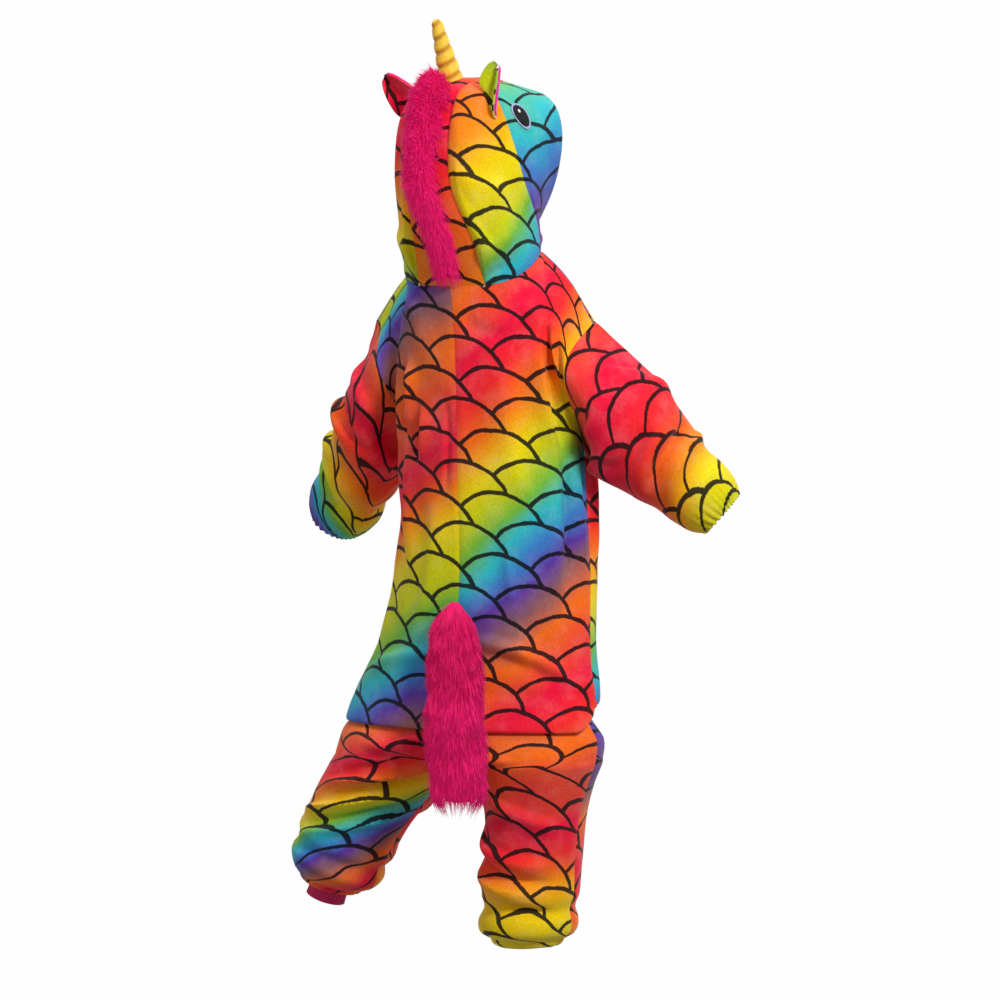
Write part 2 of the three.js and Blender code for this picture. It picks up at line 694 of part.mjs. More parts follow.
// An oval of felt on the hood's band: its middle, half sizes in millimetres and tilt, from one radius to another.
function felt(side, shape, inner, outer, low, high) {
  const name = `hood_band_${side}`;
  const arches = BAND_ARCHES;
  const rows = [...BAND_PLACES].reverse();
  const at = (u, v, raise) => onFacets(cloth[name], arches, rows, u, v, raise);
  const { arch, place, tall, wide, tilt } = shape;
  const alongArch = onHood(side, arch + 0.01, place).distanceTo(onHood(side, arch, place)) / 0.01;
  const alongPlace = onHood(side, arch, place + 0.01).distanceTo(onHood(side, arch, place)) / 0.01;
  const spot = (angle, radius, raise) => {
    const [a, b] = [tall * radius * Math.cos(angle), wide * radius * Math.sin(angle)];
    const turn = radians(tilt);
    const up = a * Math.cos(turn) - b * Math.sin(turn);
    const over = a * Math.sin(turn) + b * Math.cos(turn);
    return at(arch + up / alongArch, place + over / alongPlace, raise);
  };
  const ring = (radius, raise) => around(12, (angle) => spot(angle, radius, raise));
  if (inner === 0)
    return filled([ring(outer / 2, low), ring(outer, low), ring(outer, high), ring(outer / 2, high)],
      spot(0, 0, low), spot(0, 0, high));
  const faces = [];
  const loops = [ring(inner, low), ring(outer, low), ring(outer, high), ring(inner, high)];
  loops.forEach((loop, i) => skin(faces, loop, loops[(i + 1) % 4], true));
  return solid(faces);
}

function eyePieces() {
  for (const side of Object.keys(SIDES)) {
    add(`eye_${side}`, felt(side, EYE, 0, 1, FELT.lift, FELT.lift + FELT.thick), COLOURS.dark);
    add(`eye_${side}_rim`, felt(side, EYE, 1.04, 1.28, FELT.lift, FELT.lift + FELT.thick / 2), COLOURS.pale);
    const glint = { ...EYE, arch: EYE.arch + 0.022, place: EYE.place + 0.012, tall: 3.4, wide: 2.6 };
    const low = FELT.lift + FELT.thick + SEAM;
    add(`eye_${side}_glint`, felt(side, glint, 0, 1, low, low + 0.8), COLOURS.plastic);
  }
}

// An ear: a cupped leaf whose base follows the hood. Across runs from its inside to its outside edge.
function onEar(side, across, rise) {
  const hand = SIDES[side];
  const base = (u) => onHood(side, mix(EAR.high, EAR.low, u), EAR.at);
  const middle = base(0.5);
  const lateral = base(1).sub(base(0)).normalize();
  const splay = radians(EAR_SIDES[side].splay);
  const stand = vector(hand * Math.sin(splay), 0.12, Math.cos(splay)).normalize();
  const ahead = stand.clone().cross(lateral).multiplyScalar(hand).normalize();
  const side1 = 2 * across - 1;
  const half = EAR.wide * Math.sqrt(1 - Math.min(1, Math.max(0, rise)) ** 2.2) * (1 - 0.25 * rise) + 1.5 * rise;
  const cup = EAR.cup * (side1 ** 2 - 0.4) * (half / EAR.wide);
  const leaf = middle
    .clone()
    .addScaledVector(stand, EAR.tall * rise)
    .addScaledVector(lateral, side1 * half)
    .addScaledVector(ahead, cup - 6 * rise ** 2);
  const seat = base(across).addScaledVector(stand, EAR_SIDES[side].lift);
  return seat.lerp(leaf, smooth(rise, 0, 0.3));
}

const EAR_ROWS = [0, 0.08, 0.18, 0.32, 0.48, 0.64, 0.78, 0.9, 0.98];
const EAR_COLUMNS = steps(0, 1, 6);

function earPieces() {
  for (const side of Object.keys(SIDES)) {
    const facing = SIDES[side];
    const surface = (u, v) => onEar(side, u, v);
    const lined = { facing, thick: FELT.thick, lift: -PLUSH - EAR.gap };
    add(`ear_${side}`, wall(grid(EAR_ROWS, EAR_COLUMNS, surface, { facing })), COLOURS.cloth);
    add(`ear_${side}_inner`, wall(grid(EAR_ROWS.slice(3, -1), EAR_COLUMNS.slice(1, -1), surface, lined)), COLOURS.pink);
  }
}

// The stuffed horn: rings that narrow to a round tip, with a groove wound round it.
function hornPiece() {
  const seat = onStrip(0, HORN.at, HORN.lift);
  const axis = vector(...HORN.lean).normalize();
  const across = vector(1, 0, 0).addScaledVector(axis, -axis.x).normalize();
  const ahead = axis.clone().cross(across);
  const rings = steps(0, 1, 20).map((rise) =>
    around(12, (angle) => {
      const wound = HORN.turns * rise - angle / (2 * Math.PI);
      const groove = Math.abs(Math.cos(Math.PI * wound)) ** 6;
      const tip = Math.sqrt(1 - Math.max(0, (rise - 0.9) / 0.11) ** 2);
      const radius = mix(HORN.base, HORN.tip, rise) * (1 - HORN.groove * groove) * tip;
      return seat
        .clone()
        .addScaledVector(axis, HORN.tall * rise)
        .addScaledVector(across, radius * Math.cos(angle))
        .addScaledVector(ahead, radius * Math.sin(angle));
    }),
  );
  add("horn", filled(rings, seat, seat.clone().addScaledVector(axis, HORN.tall + 0.5)), COLOURS.horn);
}

// The mane: a dome of pile along the strip, in locks, its base on the strip's facets.
function manePiece() {
  const columns = STRIP_COLUMNS;
  const rows = STRIP_ROWS;
  const places = SIDE_PLACES.filter((at) => at < STRIP_POINT && at > MANE[0].at).reverse();
  const halves = [MANE[0].at, ...places, MANE.at(-1).at];
  const ats = halves.flatMap((at, i) => (i ? [(halves[i - 1] + at) / 2, at] : [at]));
  const rings = ats.map((at, j) => {
    const { half, tall } = along(MANE, at);
    const edge = half / along(HOOD, at).x;
    const dome = steps(0, Math.PI, 12).map((angle, i) => {
      const lock = (i + j) % 2 ? 1 : PILE_LOCK;
      const over = edge * Math.cos(angle);
      return onFacets(cloth.hood_centre_strip, columns, rows, over, at, PILE_SEAT + tall * lock * Math.sin(angle));
    });
    const under = [-1, 0, 1].map((over) =>
      onFacets(cloth.hood_centre_strip, columns, rows, over * Math.min(0.5, 0.6 * edge), at, PILE_SEAT),
    );
    return [...dome, ...under];
  });
  const middle = (ring) => ring.reduce((sum, p) => sum.add(p), vector(0, 0, 0)).divideScalar(ring.length);
  add("mane", filled(rings, middle(rings[0]), middle(rings.at(-1))), COLOURS.pink);
}

// The tail: rings of pile that hang from the back seam over the hem, with locks down to its end.
function tailPiece() {
  const count = TAIL.length - 1;
  const ats = steps(TAIL[0].down, TAIL[count].down, 16);
  const rings = ats.map((down, j) => {
    const t = along(TAIL, down);
    return around(14, (angle, i) => {
      const lock = (i + j) % 2 ? 1 : PILE_LOCK;
      const behind = Math.sin(angle) > 0 ? lock : 1;
      return vector(t.x + t.half * lock * Math.cos(angle), t.y + t.deep * behind * Math.sin(angle), -down);
    });
  });
  const end = (row, drop) => vector(row.x, row.y, -row.down - drop);
  add("tail", filled(rings, end(TAIL[0], -3), end(TAIL[count], 6)), COLOURS.pink);
}

// The rib cuffs that the legs' hems are sewn to.
function cuffPieces() {
  for (const side of Object.keys(SIDES)) {
    const { above, long } = CUFFS[side];
    const surface = (u, v) => {
      const narrow = 1 - CUFF_WAIST * Math.sin(Math.PI * Math.min(1, v * 0.7));
      return legEnd(side, 2 * Math.PI * u, (CUFF_RADIUS - CUFF_CLEAR) * narrow, v * long - above);
    };
    const round = steps(0, 1, 24).slice(0, -1);
    const g = grid(steps(0, 1, 4), round, surface, { thick: RIB, facing: -SIDES[side], ring: true });
    add(`leg_cuff_${side}`, wall(g), COLOURS.pink);
  }
}

// ---------- Zips ----------
// The seat zip's tape, inside the edges that it joins: across runs from the right side seam to the left.
function seatTape() {
  const surface = (across, down) => {
    const name = `leg_${across < 0 ? "right" : "left"}_back`;
    const edge = onFacets(cloth[name], SEAT_COLUMNS, SEAT_ROWS, Math.abs(across), SEAT_ROWS[0], -PLUSH - TAPE.gap);
    return edge.setZ(-down);
  };
  const rows = [SEAT_ZIP - TAPE.above, SEAT_ZIP, SEAT_ZIP + TAPE.below];
  const half = [...SEAT_COLUMNS.slice(0, -1), TAPE.reach];
  const columns = [...half.slice(1).map((u) => -u).reverse(), ...half];
  const g = grid(rows, columns, surface, { thick: TAPE.thick, facing: -1 });
  add("seat_zip_tape", wall(g), COLOURS.dark);
}

// The way out and the middle of the front zip at a row of the front pieces.
function frontMiddle(v) {
  const at = (side, u, down) => bodySurface(`front_${side}`, side, -1)(u, down);
  const [left, right] = [at("left", 0, v), at("right", 0, v)];
  const lower = at("left", 0, v + 1e-3).add(at("right", 0, v + 1e-3)).divideScalar(2);
  const middle = left.clone().add(right).divideScalar(2);
  const down = lower.sub(middle).normalize();
  const across = left.clone().sub(right).normalize();
  return { left, right, middle, down, across, out: down.clone().cross(across).normalize() };
}

// The front zip's tape with its raised chain, behind the front edges.
function frontTape() {
  const rows = [...YOKE_ROWS, ...TRUNK_ROWS.filter((down) => down < ZIP_END)].slice(1);
  const section = [[-11, 0], [-4, 0], [-2.2, 1.9], [2.2, 1.9], [4, 0], [11, 0]];
  const points = rows.map((v) => {
    const { middle, across, out } = frontMiddle(v);
    return section.map(([over, rise]) => ({
      p: middle.clone().addScaledVector(across, over).addScaledVector(out, rise - PLUSH - SEAM - FRONT_TAPE_DROP),
      out,
      thick: TAPE.thick,
      move: vector(0, 0, 0),
    }));
  });
  add("front_zip_tape", wall({ points, ring: false }), COLOURS.dark);
}

// A solid of manifold-3d from a geometry, and back.
const wasm = await Module();
wasm.setup();

function toManifold(geometry) {
  const bare = geometry.clone().deleteAttribute("normal").deleteAttribute("uv");
  const merged = mergeVertices(bare, 1e-4);
  return new wasm.Manifold(
    new wasm.Mesh({
      numProp: 3,
      vertProperties: merged.attributes.position.array,
      triVerts: new Uint32Array(merged.index.array),
    }),
  );
}

function fromManifold(body) {
  const mesh = body.getMesh();
  const geometry = new THREE.BufferGeometry();
  geometry.setAttribute("position", new THREE.BufferAttribute(mesh.vertProperties, 3));
  geometry.setIndex(new THREE.BufferAttribute(mesh.triVerts, 1));
  return geometry;
}

// A slider with the bridge that its pull swings on. X is across the cloth, Y up it, Z out of it.
function sliderGeometry(across, length) {
  const plate = new THREE.BoxGeometry(across, length, SLIDER.thick).translate(0, 0, SLIDER.thick / 2);
  const bar = SLIDER.bar;
  const outline = new THREE.Shape();
  outline.moveTo(-bar.outer, -bar.outer).lineTo(bar.outer, -bar.outer).lineTo(bar.outer, bar.outer);
  outline.lineTo(-bar.outer, bar.outer).closePath();
  const hole = new THREE.Path();
  hole.absarc(0, 0, bar.inner, 0, 2 * Math.PI, true);
  outline.holes.push(hole);
  const bridge = new THREE.ExtrudeGeometry(outline, { depth: bar.wide, bevelEnabled: false, curveSegments: 12 });
  bridge.translate(0, 0, -bar.wide / 2).rotateY(Math.PI / 2).translate(0, 0, SLIDER.axis);
  return fromManifold(toManifold(plate).add(toManifold(bridge)));
}

// A pull tab that hangs down from the bridge, with a round hole near its end. Its hinge is at the origin.
function pullGeometry() {
  const { half, bar, slot, slotHalf, long, hole, thick } = PULL;
  const outline = new THREE.Shape();
  outline.moveTo(half * 0.75, bar).lineTo(-half * 0.75, bar).lineTo(-half * 0.75, -slot - bar);
  outline.absarc(0, -long + half, half, Math.PI, 2 * Math.PI, false);
  outline.lineTo(half * 0.75, -slot - bar);
  const top = new THREE.Path();
  top.moveTo(-slotHalf, -bar).lineTo(-slotHalf, -slot).lineTo(slotHalf, -slot).lineTo(slotHalf, -bar);
  const round = new THREE.Path();
  round.absarc(0, -long + half, hole, 0, 2 * Math.PI, true);
  outline.holes.push(top, round);
  const tab = new THREE.ExtrudeGeometry(outline, { depth: thick, bevelEnabled: false, curveSegments: 12 });
  return tab.translate(0, 0, -thick / 2);
}

// A slider and its pull at a place on the cloth.
function zipHardware(name, seat, down, out, across, length) {
  const place = new THREE.Group();
  const right = out.clone().cross(down).normalize();
  place.matrix.makeBasis(right, down.clone().negate(), out).setPosition(seat);
  place.matrix.decompose(place.position, place.quaternion, place.scale);
  group.add(place);
  add(`${name}_slider`, sliderGeometry(across, length), COLOURS.plastic, place);
  add(`${name}_pull`, pullGeometry().translate(0, 0, SLIDER.axis), COLOURS.plastic, place);
}

function zipPieces() {
  seatTape();
  frontTape();
  const front = frontMiddle(FRONT_SLIDER_ROW);
  const chain = 1.9 - PLUSH - SEAM - FRONT_TAPE_DROP;
  const seat = front.middle.addScaledVector(front.out, chain + SLIDER.lift);
  zipHardware("front_zip", seat, front.down, front.out, 7, 10);
  const at = (u, v) => onSection("left", 1, u, v);
  const { across, down } = SEAT_SLIDER;
  const fall = at(across, down + 3).sub(at(across, down - 3)).normalize();
  const over = at(across + 0.01, down).sub(at(across - 0.01, down)).normalize();
  const out = over.clone().cross(fall).normalize();
  zipHardware("seat_zip", at(across, down).addScaledVector(out, SEAT_SLIDER.lift), fall, out, 10, 7);
}

// ---------- Assembly ----------
const group = new THREE.Group();

function add(name, geometry, colour, parent = group) {
  const material = new THREE.MeshStandardMaterial({ color: colour, roughness: 0.9, metalness: 0 });
  const mesh = new THREE.Mesh(geometry, material);
  mesh.name = name;
  parent.add(mesh);
}

const cloth = { ...bodyPieces(), ...sleevePieces(), ...hoodPieces() };
weld(Object.values(cloth));
for (const [name, g] of Object.entries(cloth)) {
  drawIn(g);
  add(name, wall(g), COLOURS.cloth);
}
eyePieces();
earPieces();
hornPiece();
manePiece();
tailPiece();
cuffPieces();
zipPieces();

export default group;
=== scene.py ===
"""Dresses a child's hooded plush costume: printed cloth shells, long pile, rib cuffs and zips."""

import logging
import math
from dataclasses import dataclass
from enum import Enum
from typing import Callable

import bpy
import numpy as np
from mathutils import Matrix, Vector


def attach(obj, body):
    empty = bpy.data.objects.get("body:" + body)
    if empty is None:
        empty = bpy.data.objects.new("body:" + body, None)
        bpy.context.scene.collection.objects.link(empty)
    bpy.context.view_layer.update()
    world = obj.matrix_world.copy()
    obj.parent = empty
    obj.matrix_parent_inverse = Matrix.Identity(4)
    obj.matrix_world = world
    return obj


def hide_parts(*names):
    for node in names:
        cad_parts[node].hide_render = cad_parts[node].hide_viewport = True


Array = np.ndarray
Socket = bpy.types.NodeSocket
NodeTree = bpy.types.NodeTree
Material = bpy.types.Material

LOG = logging.getLogger("costume")
MM = 0.001
BODY = "garment"

# ---------- Sizes in millimetres, the same as the solids' ----------
PLUSH = 2.4
RIB = 2.0
SEAM = 0.3
ARMPIT = 250.0
FOLD_START = 560.0
SEAT_ZIP = 583.0
CROTCH = 655.0
ZIP_GAP = 9.0
ZIP_END = 545.0
ZIP_CLEAR = 6.0
HOOD_TURN = -12.0
SHOULDER_POINT = 0.4
STRIP_POINT = 0.86
SHOULDER_BOW = 10.0
YOKE_TURN = 78.0
STRIP_RISE = 6.0
CUFF_RADIUS = 31.0
CUFF_CLEAR = 1.5
CUFF_WAIST = 0.1
HEM_TROUGH = 0.5
UNDERARM_EASE = 110.0
SLEEVE_CAP = 0.34
ZIP_PITCH = 3.0
FOLD_DEPTH = 2.1
FOLD_BORDER = (2, 24)  # where folds begin and are full, from a piece's border
PUFF_RISE = (0, 6)  # a seam's puff, from the border
PUFF_FALL = (8, 30)
HEM_LEAD = 12.0  # where the cloth becomes double before a hem
LARGE_FADE_IN = 60.0
LARGE_FADE_OUT = 80.0
CHAIN_RISE = 1.9


class Side(Enum):
    """The wearer's sides, by the sign of X."""

    LEFT = 1
    RIGHT = -1

    @property
    def word(self) -> str:
        """The side's name in nodes."""
        return self.name.lower()


class Face(Enum):
    """The back and the front of the body, by the sign of Y."""

    BACK = 1
    FRONT = -1


# Trunk sections: down from the origin, centre, half width, and depth behind and before the centre.
TRUNK = np.array(
    [
        [ARMPIT, -20, -42, 131, 116, 108], [330, -23, -40, 134, 114, 108], [400, -24, -32, 141, 106, 108],
        [460, -21, -22, 149, 97, 108], [520, -14, -13, 162, 90, 106], [FOLD_START, -8, -7, 177, 86, 104],
        [575, -5, -5, 180, 84, 103], [SEAT_ZIP, -4, -4, 172, 80, 99], [593, -3, -3, 171, 79, 98],
        [608, -2, -3, 180, 81, 100], [624, -1, -2, 190, 88, 100], [CROTCH, 3, 0, 192, 88, 92],
    ]
)

# Leg sections: down, centre, half width, depth behind and before it, and the lean about Y in degrees.
LEGS = {
    Side.LEFT: np.array(
        [
            [CROTCH, 99, 0, 96, 88, 92, 0], [688, 131, 0, 80, 80, 84, 8], [725, 160, 1, 69, 75, 78, 18],
            [758, 180, 3, 65, 73, 75, 22], [775, 188, 4, 67, 75, 77, 24], [789, 194, 5, 60, 68, 70, 24],
            [806, 201, 6, 65, 72, 74, 24], [822, 207, 6, 56, 61, 63, 22], [831, 211, 6, 44, 48, 49, 20],
        ]
    ),
    Side.RIGHT: np.array(
        [
            [CROTCH, -93, 0, 96, 88, 92, 0], [690, -96, -6, 76, 80, 84, 0], [730, -93, -12, 66, 75, 78, 0],
            [790, -88, -15, 63, 70, 74, 0], [835, -84, -15, 65, 73, 76, 0], [852, -83, -15, 60, 67, 70, 0],
            [870, -81, -15, 65, 73, 76, 0], [886, -80, -15, 62, 69, 71, 0], [895, -79, -15, 48, 52, 54, 0],
        ]
    ),
}
CUFF_ABOVE = {Side.LEFT: 2.0, Side.RIGHT: 26.0}
CUFF_LONG = {Side.LEFT: 30.0, Side.RIGHT: 28.0}

# The neck seam of one side: share of the way from the front to the nape, and its place.
NECK = np.array(
    [
        [0, ZIP_GAP / 2, -84, -8], [0.2, 46, -76, 10], [SHOULDER_POINT, 82, -47, 25], [0.6, 93, -2, 8],
        [0.74, 80, 32, -10], [STRIP_POINT, 50, 50, -18], [1, 0, 57, -20],
    ]
)
SHOULDER_TIP = {Side.LEFT: (159, -30, -70), Side.RIGHT: (-172, -28, -66)}
ARMHOLE = {Face.BACK: 66.0, Face.FRONT: -44.0}
NECK_SHARE = {Face.BACK: 9 / 12, Face.FRONT: 4 / 7}

# Hood seams by their place on the neck seam: the strip's edge, and how far the arch bows out and behind.
HOOD = np.array(
    [
        [0, 25, -84, 239, 80, 0], [0.2, 26, -42, 249, 52, 17], [SHOULDER_POINT, 27, 3, 251, 20, 30],
        [0.5, 29, 37, 248, 5, 27], [0.6, 31, 64, 231, -2, 20], [0.7, 34, 82, 190, -2, 9],
        [0.78, 38, 89, 135, -2, 3], [0.83, 43, 80, 62, 4, 3], [STRIP_POINT, 49.5, 53, -11, 0, 0],
        [1, 50, 50, -18, 0, 0],
    ]
)

# Sleeve axes from armhole to hem, and their rings: share of the way, half height, half depth.
SLEEVE_FROM = {Side.LEFT: (122, -20, -162), Side.RIGHT: (-156, -20, -159)}
SLEEVE_TO = {Side.LEFT: (268, -116, -350), Side.RIGHT: (-322, -106, -320)}
SLEEVE_RINGS = {
    Side.LEFT: np.array(
        [
            [0, 88, 64], [0.2, 74, 62], [0.4, 62, 58], [0.5, 57, 54], [0.62, 59, 57], [0.74, 51, 50],
            [0.86, 52, 52], [0.95, 45, 45], [1, 38, 38],
        ]
    ),
    Side.RIGHT: np.array(
        [
            [0, 92, 66], [0.2, 84, 66], [0.4, 72, 60], [0.6, 60, 55], [0.72, 52, 50], [0.82, 51, 51],
            [0.92, 47, 47], [0.97, 42, 43], [1, 37, 38],
        ]
    ),
}
HEM_DROP = (6.0, 27.0)  # at the side seams and at the middle of the back
HEM_OUT = (1.5, 13.0)
HEM_RADIUS = 3.8
TAPE_ABOVE = 8.0
SLEEVE_HEM_RADIUS = 2.9
SLEEVE_HEM_DEEP = 12.0

# The mane by its place on the neck seam: half width and height of the pile.
MANE = np.array([[0.56, 22, 32], [0.62, 27, 32], [0.7, 28, 25], [0.8, 26, 22], [0.85, 20, 14]])
# The tail: down, centre, half width and half depth of the pile.
TAIL = np.array(
    [
        [436, -21, 82, 12, 7], [465, -24, 90, 28, 13], [510, -29, 98, 37, 18], [555, -34, 104, 39, 19],
        [590, -38, 115, 40, 20], [620, -40, 115, 40, 20], [670, -41, 112, 40, 20], [702, -41, 110, 34, 17],
        [716, -41, 110, 22, 11],
    ]
)


# ---------- Numbers ----------
def smooth(value: Array, low: float, high: float) -> Array:
    """The smooth step 3t^2 - 2t^3 of value between low and high.

    Args:
        value: Any array.
        low: Where the step starts.
        high: Where it ends.

    Returns:
        An array from 0 to 1.
    """
    t = np.clip((value - low) / (high - low), 0, 1)
    return t * t * (3 - 2 * t)


def mix(first: Array, second: Array, share: Array) -> Array:
    """first at share 0 and second at share 1, in a straight line."""
    return first + (second - first) * share


def along(table: Array, place: Array) -> Array:
    """A smooth curve through a table's rows, by cubic pieces whose slopes are those between the neighbours.

    Args:
        table: Rows of a place and its values.
        place: Places, of any shape.

    Returns:
        The values, in one more dimension than place has.
    """
    key, values = table[:, 0], table[:, 1:]
    last = len(key) - 1
    place = np.asarray(place, float)
    i = np.clip(np.searchsorted(key, place, side="right") - 1, 0, last - 1)
    span = (key[i + 1] - key[i])[..., None]
    s = np.clip((place[..., None] - key[i][..., None]) / span, 0, 1)
    before, after = np.maximum(np.arange(last + 1) - 1, 0), np.minimum(np.arange(last + 1) + 1, last)
    slopes = (values[after] - values[before]) / (key[after] - key[before])[:, None]
    return (
        values[i] * (1 - s) ** 2 * (1 + 2 * s)
        + values[i + 1] * s**2 * (3 - 2 * s)
        + slopes[i] * span * s * (1 - s) ** 2
        - slopes[i + 1] * span * s**2 * (1 - s)
    )


def stack(*parts: Array) -> Array:
    """Arrays of numbers as points, with numbers spread to the arrays' shape."""
    return np.stack(np.broadcast_arrays(*parts), axis=-1).astype(float)


def unit(vectors: Array) -> Array:
    """Vectors of length 1 along the last axis."""
    return vectors / np.maximum(np.linalg.norm(vectors, axis=-1, keepdims=True), 1e-9)


# ---------- Forms ----------
def section(side: Side, down: Array) -> dict[str, Array]:
    """The section of one side: the trunk's ellipse, then the split at the crotch, then the leg's ellipse.

    Args:
        side: The wearer's side.
        down: Distances below the origin.

    Returns:
        Centre x and y, half width, depths behind and before, first angle and lean.
    """
    trunk = along(TRUNK, down)
    leg = along(LEGS[side], down)
    split = smooth(down, SEAT_ZIP, CROTCH)
    low = down > CROTCH
    upper = {
        "x": trunk[..., 0] + side.value * split * trunk[..., 2] / 2,
        "y": trunk[..., 1],
        "half": trunk[..., 2] * (1 - split / 2),
        "back": trunk[..., 3],
        "front": trunk[..., 4],
        "start": -np.arcsin(split / (2 - split)),
        "lean": 0 * split,
    }
    lower = dict(zip(("x", "y", "half", "back", "front"), np.moveaxis(leg, -1, 0)))
    lower |= {"start": 0 * split - math.pi / 2, "lean": np.radians(leg[..., 5]) * side.value}
    return {name: np.where(low, lower[name], upper[name]) for name in upper}


def on_section(side: Side, face: Face, u: Array, down: Array, out: Array = 0.0) -> Array:
    """A point of a section's half ellipse: u turns from the middle or inside seam to the side seam.

    Args:
        side: The wearer's side.
        face: Back or front.
        u: Share of the way to the side seam.
        down: Distances below the origin.
        out: How far the point stands out from the ellipse.

    Returns:
        Points in millimetres.
    """
    s = section(side, down)
    zip_edge = ZIP_GAP / 2 * (1 - smooth(down, ZIP_END - 15, ZIP_END)) * (face is Face.FRONT)
    angle = mix(s["start"] + np.arcsin(zip_edge / s["half"]), math.pi / 2, u)
    deep = s["back"] if face is Face.BACK else s["front"]
    x = side.value * (s["half"] + out) * np.sin(angle)
    return stack(
        s["x"] + x * np.cos(s["lean"]),
        s["y"] + face.value * (deep + out) * np.cos(angle),
        -down + x * np.sin(s["lean"]),
    )


def on_neck(side: Side, at: Array) -> Array:
    """A point of the neck seam."""
    return along(NECK, at) * np.array([side.value, 1, 1])


def top_edge(side: Side, face: Face, u: Array) -> Array:
    """The top edge of a body piece: the neck seam, then the bowed shoulder seam out to its tip."""
    share = NECK_SHARE[face]
    first = 1.0 if face is Face.BACK else 0.0
    neck = on_neck(side, mix(first, SHOULDER_POINT, np.minimum(u / share, 1)))
    t = np.clip((u - share) / (1 - share), 0, 1)[..., None]
    tip = np.array(SHOULDER_TIP[side], float)
    shoulder = mix(on_neck(side, np.array(SHOULDER_POINT)), tip, t)
    shoulder = shoulder + SHOULDER_BOW * np.sin(math.pi * t) * np.array([0, 0, 1])
    return np.where((u <= share)[..., None], neck, shoulder)


def on_yoke(side: Side, face: Face, u: Array, rise: Array) -> Array:
    """Above the armpit: part of a circle's turn from the chest over to the neck and shoulder."""
    start = on_section(side, face, u, np.full_like(u, ARMPIT))
    end = top_edge(side, face, u)
    turn = math.radians(YOKE_TURN)
    up = (np.sin(turn * rise) / math.sin(turn))[..., None]
    over = ((1 - np.cos(turn * rise)) / (1 - math.cos(turn)))[..., None]
    bow = ARMHOLE[face] * np.sin(math.pi * rise) ** 2 * u**3
    point = np.concatenate([mix(start, end, over)[..., :2], mix(start, end, up)[..., 2:]], axis=-1)
    point[..., 1] += bow
    return point


def fold_step(v: Array) -> tuple[Array, Array, Array]:
    """How far an edge has fallen, turned under and been tucked up, for v from 0 to 3."""
    return np.clip(v, 0, 1), np.clip(v - 1, 0, 1) * math.pi, np.clip(v - 2, 0, 1)


def on_hem(side: Side, u: Array, v: Array) -> Array:
    """The back's hem over the seat zip: a bulge, a round fold and a tuck up behind it."""
    fall, turn, tuck = fold_step(v)
    close = 1 - smooth(u, 0.72, 1)
    within = np.minimum(u, 1 - 0.03 * fall)
    lowest = SEAT_ZIP + mix(*HEM_DROP, close) - HEM_RADIUS
    start = on_section(side, Face.BACK, within, mix(FOLD_START, 575.0, fall), mix(*HEM_OUT, close) * fall)
    start[..., 2] = -mix(FOLD_START, lowest, fall)
    end = on_section(side, Face.BACK, within, np.full_like(u, SEAT_ZIP), -PLUSH)
    end[..., 2] = TAPE_ABOVE - SEAT_ZIP
    inward = unit((end - start) * np.array([1, 1, 0]))
    start = start + inward * (HEM_RADIUS * (1 - np.cos(turn)))[..., None]
    start[..., 2] -= HEM_RADIUS * np.sin(turn)
    start[..., 2] = mix(start[..., 2], end[..., 2], tuck)
    end[..., 2] = start[..., 2]
    return mix(start, end, (tuck**2)[..., None])


def leg_end(side: Side, angle: Array, radius: Array, below: Array) -> Array:
    """A point of a ring square to the leg at its lowest section, moved down along the leg."""
    x, y, _, _, _, lean = LEGS[side][-1, 1:]
    lean = math.radians(lean) * side.value
    over = side.value * radius * np.sin(angle)
    return stack(
        x + over * math.cos(lean) + below * math.sin(lean),
        y + radius * np.cos(angle),
        -LEGS[side][-1, 0] + over * math.sin(lean) - below * math.cos(lean),
    )


def on_leg_hem(side: Side, face: Face, u: Array, v: Array) -> Array:
    """A leg's hem: half a circle under, then up inside to the cuff."""
    _, turn, tuck = fold_step(v)
    lowest = LEGS[side][-1, 0]
    outer = on_section(side, face, u, np.full_like(u, lowest))
    angle = mix(-math.pi / 2, math.pi / 2, u)
    inner = leg_end(side, angle if face is Face.BACK else math.pi - angle, CUFF_RADIUS, 0.0)
    deep = np.linalg.norm(outer - inner, axis=-1) / 2
    lean = math.radians(LEGS[side][-1, 6]) * side.value
    below = deep * np.sin(turn) - tuck * CUFF_ABOVE[side]
    point = mix(outer, inner, ((1 - np.cos(turn)) / 2)[..., None])
    return point + stack(below * math.sin(lean), 0 * below, -below * math.cos(lean))


HEM_ROWS = 1000.0
LEG_HEM_ROWS = 2000.0


def on_body(side: Side, face: Face, u: Array, v: Array) -> Array:
    """A body piece by row: -1 to 0 is the yoke, then the distance down, then the hems from their first rows."""
    found = on_section(side, face, u, np.clip(v, ARMPIT, LEGS[side][-1, 0]))
    found = np.where((v < 1)[..., None], on_yoke(side, face, u, -np.clip(v, -1, 0)), found)
    hem = (v >= HEM_ROWS - 0.5) & (v < LEG_HEM_ROWS - 0.5)
    if hem.any():
        found = np.where(hem[..., None], on_hem(side, u, v - HEM_ROWS), found)
    leg_hem = v >= LEG_HEM_ROWS - 0.5
    if leg_hem.any():
        found = np.where(leg_hem[..., None], on_leg_hem(side, face, u, v - LEG_HEM_ROWS + 1), found)
    return found


